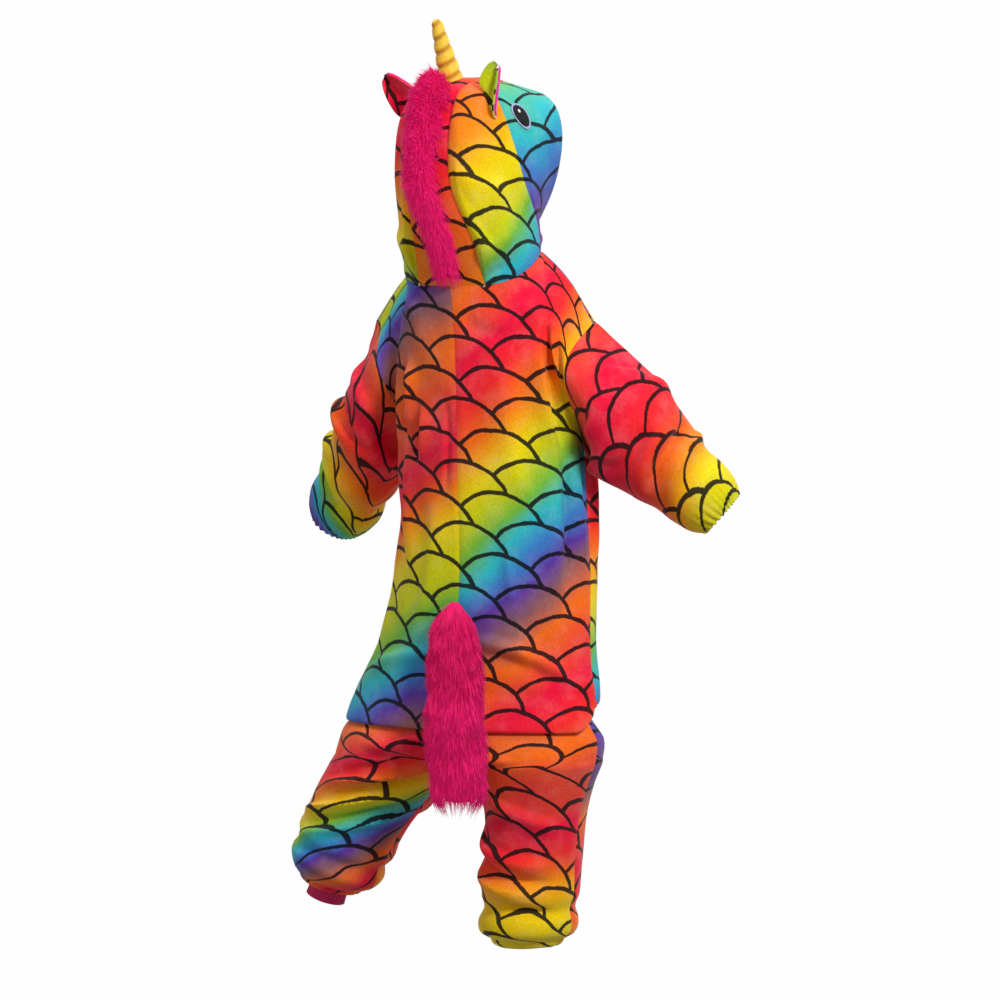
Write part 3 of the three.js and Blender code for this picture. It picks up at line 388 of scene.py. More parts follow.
def sleeve_ring(side: Side, round_: Array, v: Array) -> Array:
    """A ring of the sleeve square to its axis; round runs from the underarm by the back over the top."""
    _, turn, tuck = fold_step(v)
    far = np.minimum(v, 1)
    start, end = np.array(SLEEVE_FROM[side], float), np.array(SLEEVE_TO[side], float)
    long = np.linalg.norm(end - start)
    axis = (end - start) / long
    up = unit(np.array([0, 0, 1]) - axis * axis[2])
    behind = -side.value * np.cross(axis, up)
    ring = along(SLEEVE_RINGS[side], far)
    fold = -SLEEVE_HEM_RADIUS * (1 - np.cos(turn))
    reach = far * long + SLEEVE_HEM_RADIUS * np.sin(turn) - tuck * SLEEVE_HEM_DEEP
    angle = 2 * math.pi * round_
    return (
        start
        + axis * reach[..., None]
        - up * ((ring[..., 0] + fold) * np.cos(angle))[..., None]
        + behind * ((ring[..., 1] + fold) * np.sin(angle))[..., None]
    )


def armhole(side: Side, round_: Array) -> Array:
    """A point of the armhole: up the back from the underarm, then down the front."""
    r = np.mod(round_, 1)
    one = np.ones_like(r)
    back = on_yoke(side, Face.BACK, one, np.clip(2 * r, 0, 1))
    front = on_yoke(side, Face.FRONT, one, np.clip(2 - 2 * r, 0, 1))
    return np.where((r < 0.5)[..., None], back, front)


def on_sleeve(side: Side, round_: Array, v: Array) -> Array:
    """The sleeve from armhole to hem; its cap blends by a cubic from the armhole into the first round ring."""
    cap = np.full_like(v, SLEEVE_CAP)
    start, end = armhole(side, round_), sleeve_ring(side, round_, cap)
    leave = (sleeve_ring(side, round_, cap + 0.01) - end) * (SLEEVE_CAP / 0.01)
    ease = stack(side.value * UNDERARM_EASE * np.maximum(0, np.cos(2 * math.pi * round_)), 0, 0)
    s = np.clip(v / SLEEVE_CAP, 0, 1)[..., None]
    blend = (
        start
        + (end - start) * (s**2 * (3 - 2 * s) + s * (1 - s) ** 2)
        + ease * s * (1 - s) ** 2
        - leave * s**2 * (1 - s)
    )
    return np.where((v < SLEEVE_CAP)[..., None], blend, sleeve_ring(side, round_, v))


def turned(point: Array) -> Array:
    """Points turned about Z as the hood is, more so with height."""
    angle = math.radians(HOOD_TURN) * smooth(point[..., 2], 28, 130)
    x, y, z = np.moveaxis(point, -1, 0)
    return stack(x * np.cos(angle) - y * np.sin(angle), x * np.sin(angle) + y * np.cos(angle), z)


def hood_form(side: Side, arch: Array, at: Array) -> Array:
    """The hood before its turn, between neck seam (arch 0) and strip (arch 1): quarter arcs that swell."""
    h = along(HOOD, at)
    start = on_neck(side, at)
    quarter = math.pi / 2 * arch
    swell = np.sin(math.pi * np.clip(arch, 0, 1)) ** 0.8
    return stack(
        mix(start[..., 0], side.value * h[..., 0], 1 - np.cos(quarter)) + side.value * h[..., 3] * swell,
        mix(start[..., 1], h[..., 1], np.sin(quarter)) + h[..., 4] * swell,
        mix(start[..., 2], h[..., 2], np.sin(quarter)),
    )


def on_hood(side: Side, arch: Array, at: Array) -> Array:
    """The hood as it is worn, turned on the neck."""
    return turned(hood_form(side, arch, at))


def on_strip(across: Array, at: Array, out: Array = 0.0) -> Array:
    """The strip between its seams, from -1 on the right to 1 on the left, bowed out in the middle."""
    h, ahead, behind = along(HOOD, at), along(HOOD, np.minimum(at + 0.02, 1)), along(HOOD, np.maximum(at - 0.02, 0))
    way = unit(stack(0 * at, behind[..., 2] - ahead[..., 2], ahead[..., 1] - behind[..., 1]))
    swell = STRIP_RISE * (1 - across**2) * (1 - smooth(at, 0.8, 1))
    point = stack(h[..., 0] * across, h[..., 1], h[..., 2])
    bottom = on_neck(Side.LEFT, 1 - (1 - STRIP_POINT) * np.abs(across))
    bottom[..., 0] *= np.sign(across)
    share = np.clip((at - STRIP_POINT) / (1 - STRIP_POINT), 0, 1)[..., None]
    return turned(mix(point, bottom, share) + way * (swell + out)[..., None])


# ---------- Grids ----------
Surface = Callable[[Array, Array], Array]


def slopes(points: Array, ring: bool) -> tuple[Array, Array]:
    """Steps along the rows and across the columns of a grid, by differences between neighbours.

    Args:
        points: Rows by columns of points.
        ring: Whether the columns close on themselves.

    Returns:
        Steps down and steps across.
    """
    down = np.gradient(points, axis=0)
    if ring:
        across = (np.roll(points, -1, 1) - np.roll(points, 1, 1)) / 2
    else:
        across = np.gradient(points, axis=1)
    return down, across


def ways_out(points: Array, facing: int, ring: bool) -> Array:
    """Normals of a grid: the cross product of its steps down and across, by the way that it faces."""
    down, across = slopes(points, ring)
    return unit(np.cross(down, across)) * facing


def faces_between(rows: int, columns: int, start: int, ring: bool, flip: bool) -> Array:
    """Quads of a grid of vertices that are numbered row by row.

    Args:
        rows: Count of rows.
        columns: Count of columns.
        start: Number of the first vertex.
        ring: Whether the last column joins the first.
        flip: Whether the quads turn the other way.

    Returns:
        Vertex numbers, four to a face.
    """
    j, i = np.meshgrid(np.arange(rows - 1), np.arange(columns if ring else columns - 1), indexing="ij")
    k = (i + 1) % columns
    quads = start + np.stack([j * columns + i, (j + 1) * columns + i, (j + 1) * columns + k, j * columns + k], -1)
    quads = quads.reshape(-1, 4)
    return quads[:, ::-1] if flip else quads


@dataclass
class Mesh:
    """A mesh in the making: vertices in millimetres, faces, the dye at vertices (painted shade on the horn and the
    pile) and the cloth at faces' corners.
    """

    vertices: Array
    faces: Array
    dye_and_painted_light: Array | None = None
    cloth: Array | None = None
    materials: Array | None = None

    def outward(self) -> "Mesh":
        """Turns the faces where the volume, the sum of a . (b x c) over their halves, is negative."""
        corners = self.vertices[self.faces]
        total = 0.0
        for k in range(1, self.faces.shape[1] - 1):
            total += np.einsum("ij,ij->", corners[:, 0], np.cross(corners[:, k], corners[:, k + 1]))
        if total < 0:
            self.faces = self.faces[:, ::-1]
            self.cloth = None if self.cloth is None else self.cloth[:, ::-1]
        return self

    def plain(self) -> "Mesh":
        """The mesh with its first material all over."""
        self.materials[:] = 0
        return self

    def build(self, name: str, finishes: list[Material], sharp: float = 50.0) -> bpy.types.Object:
        """Puts the mesh into the scene at the origin.

        Args:
            name: The piece's name.
            finishes: The materials, in the order of the faces' numbers.
            sharp: Edges that turn by more degrees than this are sharp.

        Returns:
            The new object.
        """
        mesh = bpy.data.meshes.new(name)
        corners = self.faces.shape[1]
        mesh.vertices.add(len(self.vertices))
        mesh.vertices.foreach_set("co", (self.vertices * MM).astype(np.float32).ravel())
        mesh.loops.add(self.faces.size)
        mesh.loops.foreach_set("vertex_index", self.faces.astype(np.int32).ravel())
        mesh.polygons.add(len(self.faces))
        mesh.polygons.foreach_set("loop_start", np.arange(0, self.faces.size, corners, dtype=np.int32))
        if self.materials is not None:
            mesh.polygons.foreach_set("material_index", self.materials.astype(np.int32))
        mesh.update(calc_edges=True)
        mesh.polygons.foreach_set("use_smooth", np.ones(len(self.faces), bool))
        if self.cloth is not None:
            layer = mesh.uv_layers.new(name="cloth")
            layer.data.foreach_set("uv", (self.cloth * MM).astype(np.float32).ravel())
        if self.dye_and_painted_light is not None:
            mesh.attributes.new("dye_and_painted_light", "FLOAT", "POINT").data.foreach_set("value", self.dye_and_painted_light.astype(np.float32))
        mesh.set_sharp_from_angle(angle=math.radians(sharp))
        for finish in finishes:
            mesh.materials.append(finish)
        piece = bpy.data.objects.new(name, mesh)
        bpy.context.scene.collection.objects.link(piece)
        return piece


def join(parts: list[Mesh]) -> Mesh:
    """Several meshes with the same kind of faces as one."""
    starts = np.cumsum([0] + [len(part.vertices) for part in parts[:-1]])
    faces = np.concatenate([part.faces + start for part, start in zip(parts, starts)])
    return Mesh(np.concatenate([part.vertices for part in parts]), faces)


# ---------- Folds ----------
@dataclass(frozen=True)
class Fold:
    """A soft ridge or trough on cloth, between two places in millimetres across and down the piece."""

    start: tuple[float, float]
    end: tuple[float, float]
    wide: float
    rise: float
    bow: float = 0.0
    lean: float = 0.3

    def height(self, cloth: Array) -> Array:
        """The fold's height: a bell across a bowed line, steeper on one side, that fades at both ends.

        Args:
            cloth: Places on the cloth, across and down.

        Returns:
            Heights in millimetres.
        """
        a, b = np.array(self.start, float), np.array(self.end, float)
        long = np.linalg.norm(b - a)
        way = (b - a) / long
        side = np.array([-way[1], way[0]])
        t = (cloth - a) @ way / long
        off = (cloth - a) @ side - self.bow * 4 * t * (1 - t)
        wide = self.wide * (1 + self.lean * np.tanh(off / self.wide))
        fade = smooth(t, -0.12, 0.3) * (1 - smooth(t, 0.7, 1.12))
        return FOLD_DEPTH * self.rise * np.exp(-((off / wide) ** 2)) * fade


def ripple(cloth: Array, seed: int, rise: float, size: float) -> Array:
    """Gentle unevenness: a sum of seven slow sine waves in seeded directions.

    Args:
        cloth: Places on the cloth.
        seed: Picks the waves.
        rise: Height of the whole.
        size: Mean wavelength in millimetres.

    Returns:
        Heights in millimetres.
    """
    random = np.random.default_rng(seed)
    turns = random.uniform(0, math.pi, 7)
    waves = 2 * math.pi / (size * random.uniform(0.6, 1.7, 7))
    ways = np.stack([np.cos(turns), np.sin(turns)]) * waves
    return rise * np.sin(cloth @ ways + random.uniform(0, 6.3, 7)).mean(axis=-1) * 1.6


# ---------- Finishes ----------
Colour = tuple[float, float, float]


def shade(red: int, green: int, blue: int) -> tuple[float, float, float, float]:
    """A colour of 0 to 255 as linear light with full alpha: ((c + 0.055) / 1.055)^2.4, or c / 12.92 when dark."""
    parts = [c / 255 for c in (red, green, blue)]
    light = [c / 12.92 if c < 0.04045 else ((c + 0.055) / 1.055) ** 2.4 for c in parts]
    return (*light, 1.0)


class Tree:
    """Places nodes in a material or a group and joins them."""

    def __init__(self, tree: NodeTree) -> None:
        """Keeps the tree."""
        self.tree = tree

    def feed(self, socket: Socket, value: object) -> None:
        """Links a socket to an output, or sets it to a value."""
        if isinstance(value, Socket):
            self.tree.links.new(value, socket)
        else:
            socket.default_value = value

    def node(self, kind: str, inputs: dict[str | int, object] | None = None, **settings: object) -> bpy.types.Node:
        """A new node.

        Args:
            kind: Its type, without the ShaderNode that starts it.
            inputs: What feeds its sockets, by name or number.
            settings: Its other properties.

        Returns:
            The node.
        """
        made = self.tree.nodes.new(f"ShaderNode{kind}")
        for name, value in settings.items():
            setattr(made, name, value)
        for name, value in (inputs or {}).items():
            self.feed(made.inputs[name], value)
        return made

    def math(self, operation: str, *values: object) -> Socket:
        """The outcome of one sum on numbers or sockets."""
        return self.node("Math", dict(enumerate(values)), operation=operation).outputs[0]

    def step(self, value: object, low: object, high: object, start: float = 0.0, end: float = 1.0) -> object:
        """start to end by the smooth step of value from low to high."""
        inputs = {"Value": value, "From Min": low, "From Max": high, "To Min": start, "To Max": end}
        return self.node("MapRange", inputs, interpolation_type="SMOOTHSTEP").outputs[0]

    def blend(self, share: object, first: object, second: object, kind: str = "MIX") -> Socket:
        """Two colours mixed."""
        made = self.node("Mix", data_type="RGBA", blend_type=kind)
        for place, value in ((0, share), (6, first), (7, second)):
            self.feed(made.inputs[place], value)
        return made.outputs[2]

    def noise(self, where: object, scale: object, detail: float = 2.0, rough: float = 0.5) -> Socket:
        """Noise from 0 to 1, with scale in waves a metre."""
        inputs = {"Vector": where, "Scale": scale, "Detail": detail, "Roughness": rough}
        return self.node("TexNoise", inputs).outputs["Fac"]

    def group(self, tree: NodeTree, inputs: dict[str, object]) -> bpy.types.Node:
        """A placed group with its inputs fed."""
        made = self.node("Group", node_tree=tree)
        for name, value in inputs.items():
            self.feed(made.inputs[name], value)
        return made


def new_group(name: str, inputs: dict[str, float | None], outputs: list[str]) -> tuple[Tree, dict, bpy.types.Node]:
    """A shader node group with named sockets.

    Args:
        name: Its name.
        inputs: Socket names with their standing values; None is a vector.
        outputs: Names of outputs; one that ends in Colour is a colour.

    Returns:
        The tree, its input sockets by name, and its output node.
    """
    tree = bpy.data.node_groups.new(name, "ShaderNodeTree")
    kinds = {type(None): "NodeSocketVector", float: "NodeSocketFloat"}
    for word, value in inputs.items():
        socket = tree.interface.new_socket(name=word, in_out="INPUT", socket_type=kinds[type(value)])
        if value is not None:
            socket.default_value = value
    for word in outputs:
        kind = "NodeSocketColor" if word.endswith("Colour") else "NodeSocketFloat"
        tree.interface.new_socket(name=word, in_out="OUTPUT", socket_type=kind)
    start = tree.nodes.new("NodeGroupInput")
    return Tree(tree), {word: start.outputs[word] for word in inputs}, tree.nodes.new("NodeGroupOutput")


def scale_row_group() -> NodeTree:
    """One row of overlapping scales: each has a round right side and a rounder left side, behind its neighbour.

    Depth is how far a place lies below the scales' tops, in scale widths. The outline is the distance to a circle
    of radius 0.8 on the right of the top and 0.56 on its left; the left neighbour's right circle lies over it.

    Returns:
        The group, with a line mask and an inside mask.
    """
    inputs = {"Across": 0.0, "Depth": 0.0, "Line": 0.02, "Soft": 0.012}
    t, feed, out = new_group("scale row", inputs, ["Line", "Inside"])
    moved = t.math("ADD", feed["Across"], 0.5)
    cell = t.math("SUBTRACT", t.math("FRACT", moved), 0.5)

    def circle(over: object, radius: float) -> Socket:
        """Signed distance to a circle whose top is at no depth."""
        down = t.math("SUBTRACT", feed["Depth"], radius)
        long = t.math("SQRT", t.math("ADD", t.math("MULTIPLY", over, over), t.math("MULTIPLY", down, down)))
        return t.math("SUBTRACT", long, radius)

    right, left = circle(cell, 0.8), circle(cell, 0.56)
    on_right = t.math("GREATER_THAN", cell, 0.0)
    on_left = t.math("SUBTRACT", 1.0, on_right)
    own = t.math("ADD", t.math("MULTIPLY", on_right, right), t.math("MULTIPLY", on_left, left))
    neighbour = circle(t.math("ADD", cell, 1.0), 0.8)
    wide = t.math("ADD", feed["Line"], feed["Soft"])
    own_line = t.step(t.math("ABSOLUTE", own), feed["Line"], wide, 1.0, 0.0)
    near_line = t.step(t.math("ABSOLUTE", neighbour), feed["Line"], wide, 1.0, 0.0)
    uncovered = t.math("GREATER_THAN", neighbour, 0.0)
    t.feed(out.inputs["Line"], t.math("MAXIMUM", near_line, t.math("MULTIPLY", own_line, uncovered)))
    t.feed(out.inputs["Inside"], t.math("LESS_THAN", t.math("MINIMUM", own, neighbour), 0.0))
    return t.tree


def scales_group(row: NodeTree, width: float = 0.092, pitch: float = 0.45) -> NodeTree:
    """The printed scales: rows offset by half a scale, each lower row over the one above.

    Args:
        row: The group of one row.
        width: A scale's width in metres.
        pitch: From one row to the next, in scale widths.

    Returns:
        The group, from cloth places to the line's mask.
    """
    t, feed, out = new_group("scales", {"Cloth": None, "Line": 0.02, "Soft": 0.012}, ["Line"])
    place = t.node("SeparateXYZ", {"Vector": feed["Cloth"]})
    across = t.math("DIVIDE", place.outputs["X"], width)
    rows = t.math("DIVIDE", place.outputs["Y"], -width * pitch)
    number = t.math("FLOOR", rows)
    depth = t.math("MULTIPLY", t.math("SUBTRACT", rows, number), pitch)
    odd = t.math("FRACT", t.math("MULTIPLY", number, 0.5))
    masks = []
    for over, down in ((0.5, -pitch), (0.0, 0.0), (0.5, pitch)):
        inputs = {
            "Across": t.math("ADD", across, t.math("ADD", odd, over)),
            "Depth": t.math("ADD", depth, down),
            "Line": feed["Line"],
            "Soft": feed["Soft"],
        }
        masks.append(t.group(row, inputs).outputs)
    lower, own, upper = masks
    behind = t.math("MULTIPLY", t.math("SUBTRACT", 1.0, own["Inside"]), upper["Line"])
    middle = t.math("MAXIMUM", own["Line"], behind)
    shown = t.math("MULTIPLY", t.math("SUBTRACT", 1.0, lower["Inside"]), middle)
    t.feed(out.inputs["Line"], t.math("MAXIMUM", lower["Line"], shown))
    return t.tree


# The dye's colours round one turn of the rainbow.
RAINBOW: tuple[tuple[float, tuple[int, int, int]], ...] = (
    (0.0, (244, 6, 62)),
    (0.08, (250, 40, 40)),
    (0.17, (252, 116, 14)),
    (0.28, (252, 180, 4)),
    (0.37, (240, 220, 0)),
    (0.44, (206, 214, 10)),
    (0.52, (110, 190, 60)),
    (0.6, (44, 190, 196)),
    (0.66, (58, 130, 204)),
    (0.72, (92, 54, 166)),
    (0.8, (142, 92, 98)),
    (0.89, (252, 112, 14)),
    (1.0, (244, 6, 62)),
)


def rainbow_group() -> NodeTree:
    """Dye phase to colour, with places where the colour runs, and pale clouds of painted sheen on the pile.

    Returns:
        The group.
    """
    t, feed, out = new_group("rainbow dye", {"Phase": 0.0, "Where": None, "Run": 0.05, "Painted_Sheen": 0.16}, ["Colour"])
    run = t.math("SUBTRACT", t.noise(feed["Where"], 14.0, 3.0), 0.5)
    phase = t.math("ADD", feed["Phase"], t.math("MULTIPLY", run, t.math("MULTIPLY", feed["Run"], 2.0)))
    ramp = t.node("ValToRGB", {"Fac": t.math("FRACT", phase)})
    stops = ramp.color_ramp.elements
    stops[0].position, stops[0].color = RAINBOW[0][0], shade(*RAINBOW[0][1])
    stops[1].position, stops[1].color = RAINBOW[-1][0], shade(*RAINBOW[-1][1])
    for place, colour in RAINBOW[1:-1]:
        stops.new(place).color = shade(*colour)
    # Painted sheen: pale clouds at random places stand in for light on the pile.
    sheen_patch = t.step(t.noise(feed["Where"], 34.0, 4.0, 0.6), 0.42, 0.75)
    pale = t.math("MULTIPLY", sheen_patch, feed["Painted_Sheen"])
    t.feed(out.inputs["Colour"], t.blend(pale, ramp.outputs[0], shade(255, 244, 236)))
    return t.tree


def nap_group() -> NodeTree:
    """Short pile: fine tufts in soft clumps, as a shade from 0 to 1 and a height.

    Returns:
        The group.
    """
    t, feed, out = new_group("nap", {"Where": None, "Fine": 620.0, "Clump": 130.0}, ["Shade", "Height"])
    fine = t.noise(feed["Where"], feed["Fine"], 3.0, 0.65)
    clump = t.noise(feed["Where"], feed["Clump"])
    height = t.math("ADD", t.math("MULTIPLY", fine, 0.6), t.math("MULTIPLY", clump, 0.4))
    t.feed(out.inputs["Height"], height)
    t.feed(out.inputs["Shade"], t.step(height, 0.36, 0.62))
    return t.tree


@dataclass(frozen=True)
class Groups:
    """The node groups that the finishes share."""

    scales: NodeTree
    rainbow: NodeTree
    nap: NodeTree

    @classmethod
    def make(cls) -> "Groups":
        """Builds each group once."""
        return cls(scales_group(scale_row_group()), rainbow_group(), nap_group())


def start_material(name: str) -> tuple[Material, Tree, bpy.types.Node, Socket]:
    """A material with its Principled shader.

    Args:
        name: The finish's name.

    Returns:
        The material, its tree, its shader and the Object coordinates.
    """
    material = bpy.data.materials.new(name)
    material.use_nodes = True
    t = Tree(material.node_tree)
    shader = next(n for n in material.node_tree.nodes if n.type == "BSDF_PRINCIPLED")
    return material, t, shader, t.node("TexCoord").outputs["Object"]


@dataclass(frozen=True)
class PrintedPlush:
    """Short plush with dark scales printed over rainbow bands; its wrong side is a pale knit."""

    name: str = "printed plush"
    line: float = 0.024
    line_colour: tuple[int, int, int] = (12, 7, 14)
    backing: float = 0.0
    sheen: float = 0.1

    def make(self, groups: Groups) -> Material:
        """Builds the material; the print reads the cloth's own map and the dye its attribute."""
        material, t, shader, where = start_material(self.name)
        wander = t.node("TexNoise", {"Vector": where, "Scale": 45.0, "Detail": 2.0}).outputs["Color"]
        shift = t.node("VectorMath", {0: wander, 1: (0.5, 0.5, 0.5)}, operation="SUBTRACT").outputs[0]
        fuzz = t.node("TexNoise", {"Vector": where, "Scale": 420.0, "Detail": 2.0}).outputs["Color"]
        jitter = t.node("VectorMath", {0: fuzz, 1: (0.5, 0.5, 0.5)}, operation="SUBTRACT").outputs[0]
        cloth = t.node("UVMap", uv_map="cloth").outputs["UV"]
        moved = t.node("VectorMath", {0: shift, 1: (0.0055,) * 3, 2: cloth}, operation="MULTIPLY_ADD").outputs[0]
        moved = t.node("VectorMath", {0: jitter, 1: (0.0018,) * 3, 2: moved}, operation="MULTIPLY_ADD").outputs[0]
        print_ = t.group(groups.scales, {"Cloth": moved, "Line": self.line, "Soft": 0.013})
        phase = t.node("Attribute", attribute_name="dye_and_painted_light").outputs["Fac"]
        # The dye's colour, with the rainbow group's painted sheen in pale clouds.
        dye_and_painted_light = t.group(groups.rainbow, {"Phase": phase, "Where": where, "Run": 0.055, "Painted_Sheen": 0.06}).outputs[0]
        nap = t.group(groups.nap, {"Where": where, "Fine": 1300.0, "Clump": 330.0})
        dark = t.blend(1.0, dye_and_painted_light, shade(234, 226, 232), "MULTIPLY")
        base = t.blend(nap.outputs["Shade"], dark, dye_and_painted_light)
        strength = t.math("MULTIPLY", print_.outputs["Line"], 0.96)
        inked = t.blend(strength, base, shade(*self.line_colour))
        colour = t.blend(self.backing, inked, shade(238, 226, 228)) if self.backing else inked
        t.feed(shader.inputs["Base Color"], colour)
        t.feed(shader.inputs["Roughness"], t.step(nap.outputs["Height"], 0.3, 0.7, 0.98, 0.8))
        bump = t.node("Bump", {"Height": nap.outputs["Height"], "Strength": 0.6, "Distance": 0.0011})
        t.feed(shader.inputs["Normal"], bump.outputs[0])
        shader.inputs["Sheen Weight"].default_value = self.sheen
        shader.inputs["Sheen Roughness"].default_value = 0.45
        shader.inputs["Specular IOR Level"].default_value = 0.2
        return material


@dataclass(frozen=True)
class Napped:
    """A plain napped or felted cloth, or long pile, in one colour that varies a little."""

    name: str
    light: tuple[int, int, int]
    dark: tuple[int, int, int]
    fine: float = 620.0
    clump: float = 130.0
    bump: float = 0.5
    distance: float = 0.0012
    rough: float = 0.92
    sheen: float = 0.3
    attribute: str = ""
    painted_glow: float = 0.0

    def make(self, groups: Groups) -> Material:
        """Builds the material; with an attribute, its value goes from the dark colour to the light one."""
        material, t, shader, where = start_material(self.name)
        nap = t.group(groups.nap, {"Where": where, "Fine": self.fine, "Clump": self.clump})
        share = nap.outputs["Shade"]
        if self.attribute:
            value = t.node("Attribute", attribute_name=self.attribute).outputs["Fac"]
            share = t.math("ADD", t.math("MULTIPLY", value, 0.75), t.math("MULTIPLY", share, 0.25))
        colour = t.blend(share, shade(*self.dark), shade(*self.light))
        t.feed(shader.inputs["Base Color"], colour)
        # Painted light: the colour is also emitted, so the cloth shines as if lit though it is no lamp.
        if self.painted_glow:
            t.feed(shader.inputs["Emission Color"], colour)
            shader.inputs["Emission Strength"].default_value = self.painted_glow
        t.feed(shader.inputs["Roughness"], t.step(nap.outputs["Height"], 0.3, 0.7, self.rough, self.rough - 0.12))
        bump = t.node("Bump", {"Height": nap.outputs["Height"], "Strength": self.bump, "Distance": self.distance})
        t.feed(shader.inputs["Normal"], bump.outputs[0])
        shader.inputs["Sheen Weight"].default_value = self.sheen
        shader.inputs["Sheen Roughness"].default_value = 0.4
        shader.inputs["Specular IOR Level"].default_value = 0.25
        return material


@dataclass(frozen=True)
class Woven:
    """A woven or knitted ribbon: fine crossed waves of thread."""

    name: str
    light: tuple[int, int, int]
    dark: tuple[int, int, int]
    threads: float = 1400.0
    rough: float = 0.8
    sheen: float = 0.1

    def make(self, groups: Groups) -> Material:
        """Builds the material; threads are in waves a metre."""
        material, t, shader, where = start_material(self.name)
        height = None
        for way in ("X", "Z"):
            inputs = {"Vector": where, "Scale": self.threads / 6.28, "Distortion": 0.6, "Detail": 1.0}
            wave = t.node("TexWave", inputs, bands_direction=way).outputs["Fac"]
            height = wave if height is None else t.math("MULTIPLY", height, wave)
        nap = t.group(groups.nap, {"Where": where, "Fine": 900.0, "Clump": 200.0})
        share = t.math("MULTIPLY", t.math("ADD", height, nap.outputs["Shade"]), 0.5)
        t.feed(shader.inputs["Base Color"], t.blend(share, shade(*self.dark), shade(*self.light)))
        t.feed(shader.inputs["Roughness"], t.step(share, 0.0, 1.0, self.rough, self.rough - 0.15))
        bump = t.node("Bump", {"Height": share, "Strength": 0.5, "Distance": 0.0004})
        t.feed(shader.inputs["Normal"], bump.outputs[0])
        shader.inputs["Sheen Weight"].default_value = self.sheen
        return material


@dataclass(frozen=True)
class Plastic:
    """Moulded plastic with a fine grain, a little duller where it is handled."""

    name: str
    colour: tuple[int, int, int]
    worn: tuple[int, int, int]
    rough: float = 0.34

    def make(self, _: Groups) -> Material:
        """Builds the material, which needs none of the groups."""
        material, t, shader, where = start_material(self.name)
        grain = t.noise(where, 1600.0, 2.0)
        wear = t.step(t.noise(where, 180.0, 3.0), 0.45, 0.75)
        t.feed(shader.inputs["Base Color"], t.blend(wear, shade(*self.colour), shade(*self.worn)))
        t.feed(shader.inputs["Roughness"], t.step(wear, 0.0, 1.0, self.rough, self.rough + 0.2))
        bump = t.node("Bump", {"Height": grain, "Strength": 0.15, "Distance": 0.0002})
        t.feed(shader.inputs["Normal"], bump.outputs[0])
        return material


class Finish(Enum):
    """The finishes that pieces are dressed in."""

    PLUSH = PrintedPlush()
    WRONG_SIDE = PrintedPlush(name="wrong side of plush", backing=0.66, sheen=0.1)
    # Long pile: it glows with painted light, and its attribute darkens the strands' roots and the base as painted
    # shade.
    PILE = Napped("long pile", (246, 24, 132), (214, 0, 88), 900.0, 160.0, 0.2, 0.0005, 0.7, 0.06, "dye_and_painted_light", 0.16)
    LINING = Napped("ear lining", (255, 40, 176), (214, 0, 128), 620.0, 140.0, 0.6, 0.0014)
    RIB = Woven("rib knit", (236, 18, 108), (176, 0, 72), 1500.0, 0.9, 0.25)
    # Horn cloth: its attribute is painted shade, darker in the groove.
    SATIN = Napped("horn cloth", (250, 208, 66), (176, 112, 18), 1500.0, 260.0, 0.2, 0.0004, 0.5, 0.15, "dye_and_painted_light")
    BLACK = Napped("black felt", (30, 28, 32), (8, 7, 10), 1300.0, 300.0, 0.5, 0.0006, 0.9, 0.15)
    PALE = Napped("pale felt", (170, 178, 212), (148, 156, 198), 1300.0, 300.0, 0.5, 0.0006, 0.9, 0.2)
    WHITE = Napped("white felt", (250, 250, 252), (222, 222, 228), 1300.0, 300.0, 0.4, 0.0004, 0.9, 0.15)
    TAPE = Woven("zip tape", (34, 32, 38), (10, 9, 12), 1600.0)
    TEETH = Plastic("zip teeth", (40, 40, 46), (74, 74, 82), 0.4)
    THREAD = Woven("sewing thread", (60, 34, 52), (22, 12, 22), 3000.0)
    PULL = Plastic("white plastic", (244, 244, 246), (222, 222, 228))


class Wardrobe:
    """Makes each finish when it is first used."""

    def __init__(self) -> None:
        """Builds the shared groups."""
        self.groups = Groups.make()
        self.made: dict[Finish, Material] = {}

    def get(self, finish: Finish) -> Material:
        """The material of a finish."""
        if finish not in self.made:
            self.made[finish] = finish.value.make(self.groups)
        return self.made[finish]


def settle(piece: bpy.types.Object, slot: str, *nodes: str, body: str = BODY) -> bpy.types.Object:
    """Lets a piece ride on its body and stand for its nodes.

    Args:
        piece: The new object.
        slot: The record's material slot; not used.
        nodes: The nodes that it replaces.
        body: The body that it rides on.

    Returns:
        The piece.
    """
    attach(piece, body)
    if nodes:
        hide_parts(*nodes)
    LOG.info("%s: %d faces", piece.name, len(piece.data.polygons))
    return piece


# ---------- Cut pieces ----------
Pair = tuple[float, float]
Bands = tuple[Pair, ...]


def phase_at(bands: Bands, place: Array) -> Array:
    """The dye's phase by straight lines between bands, and on past the ends at the end bands' slopes."""
    key, value = np.array(bands, float).T
    i = np.clip(np.searchsorted(key, place, side="right") - 1, 0, len(key) - 2)
    return value[i] + (value[i + 1] - value[i]) * (place - key[i]) / (key[i + 1] - key[i])


def border_loops(rows: int, columns: int, ring: bool) -> list[Array]:
    """Grid places round the border, as rows and columns: one loop, or one at each end of a ring.

    Args:
        rows: Count of rows.
        columns: Count of columns, with the first one again at the end of a ring.
        ring: Whether the columns close on themselves.

    Returns:
        Loops of (row, column) pairs.
    """
    across, last = np.arange(columns), rows - 1
    first_row = np.stack([0 * across, across], -1)
    last_row = np.stack([0 * across + last, across[::-1]], -1)
    if ring:
        return [first_row, last_row]
    down = np.arange(rows)
    right = np.stack([down, 0 * down + columns - 1], -1)
    left = np.stack([down[::-1], 0 * down], -1)
    return [np.concatenate([first_row[:-1], right[:-1], last_row[:-1], left])]


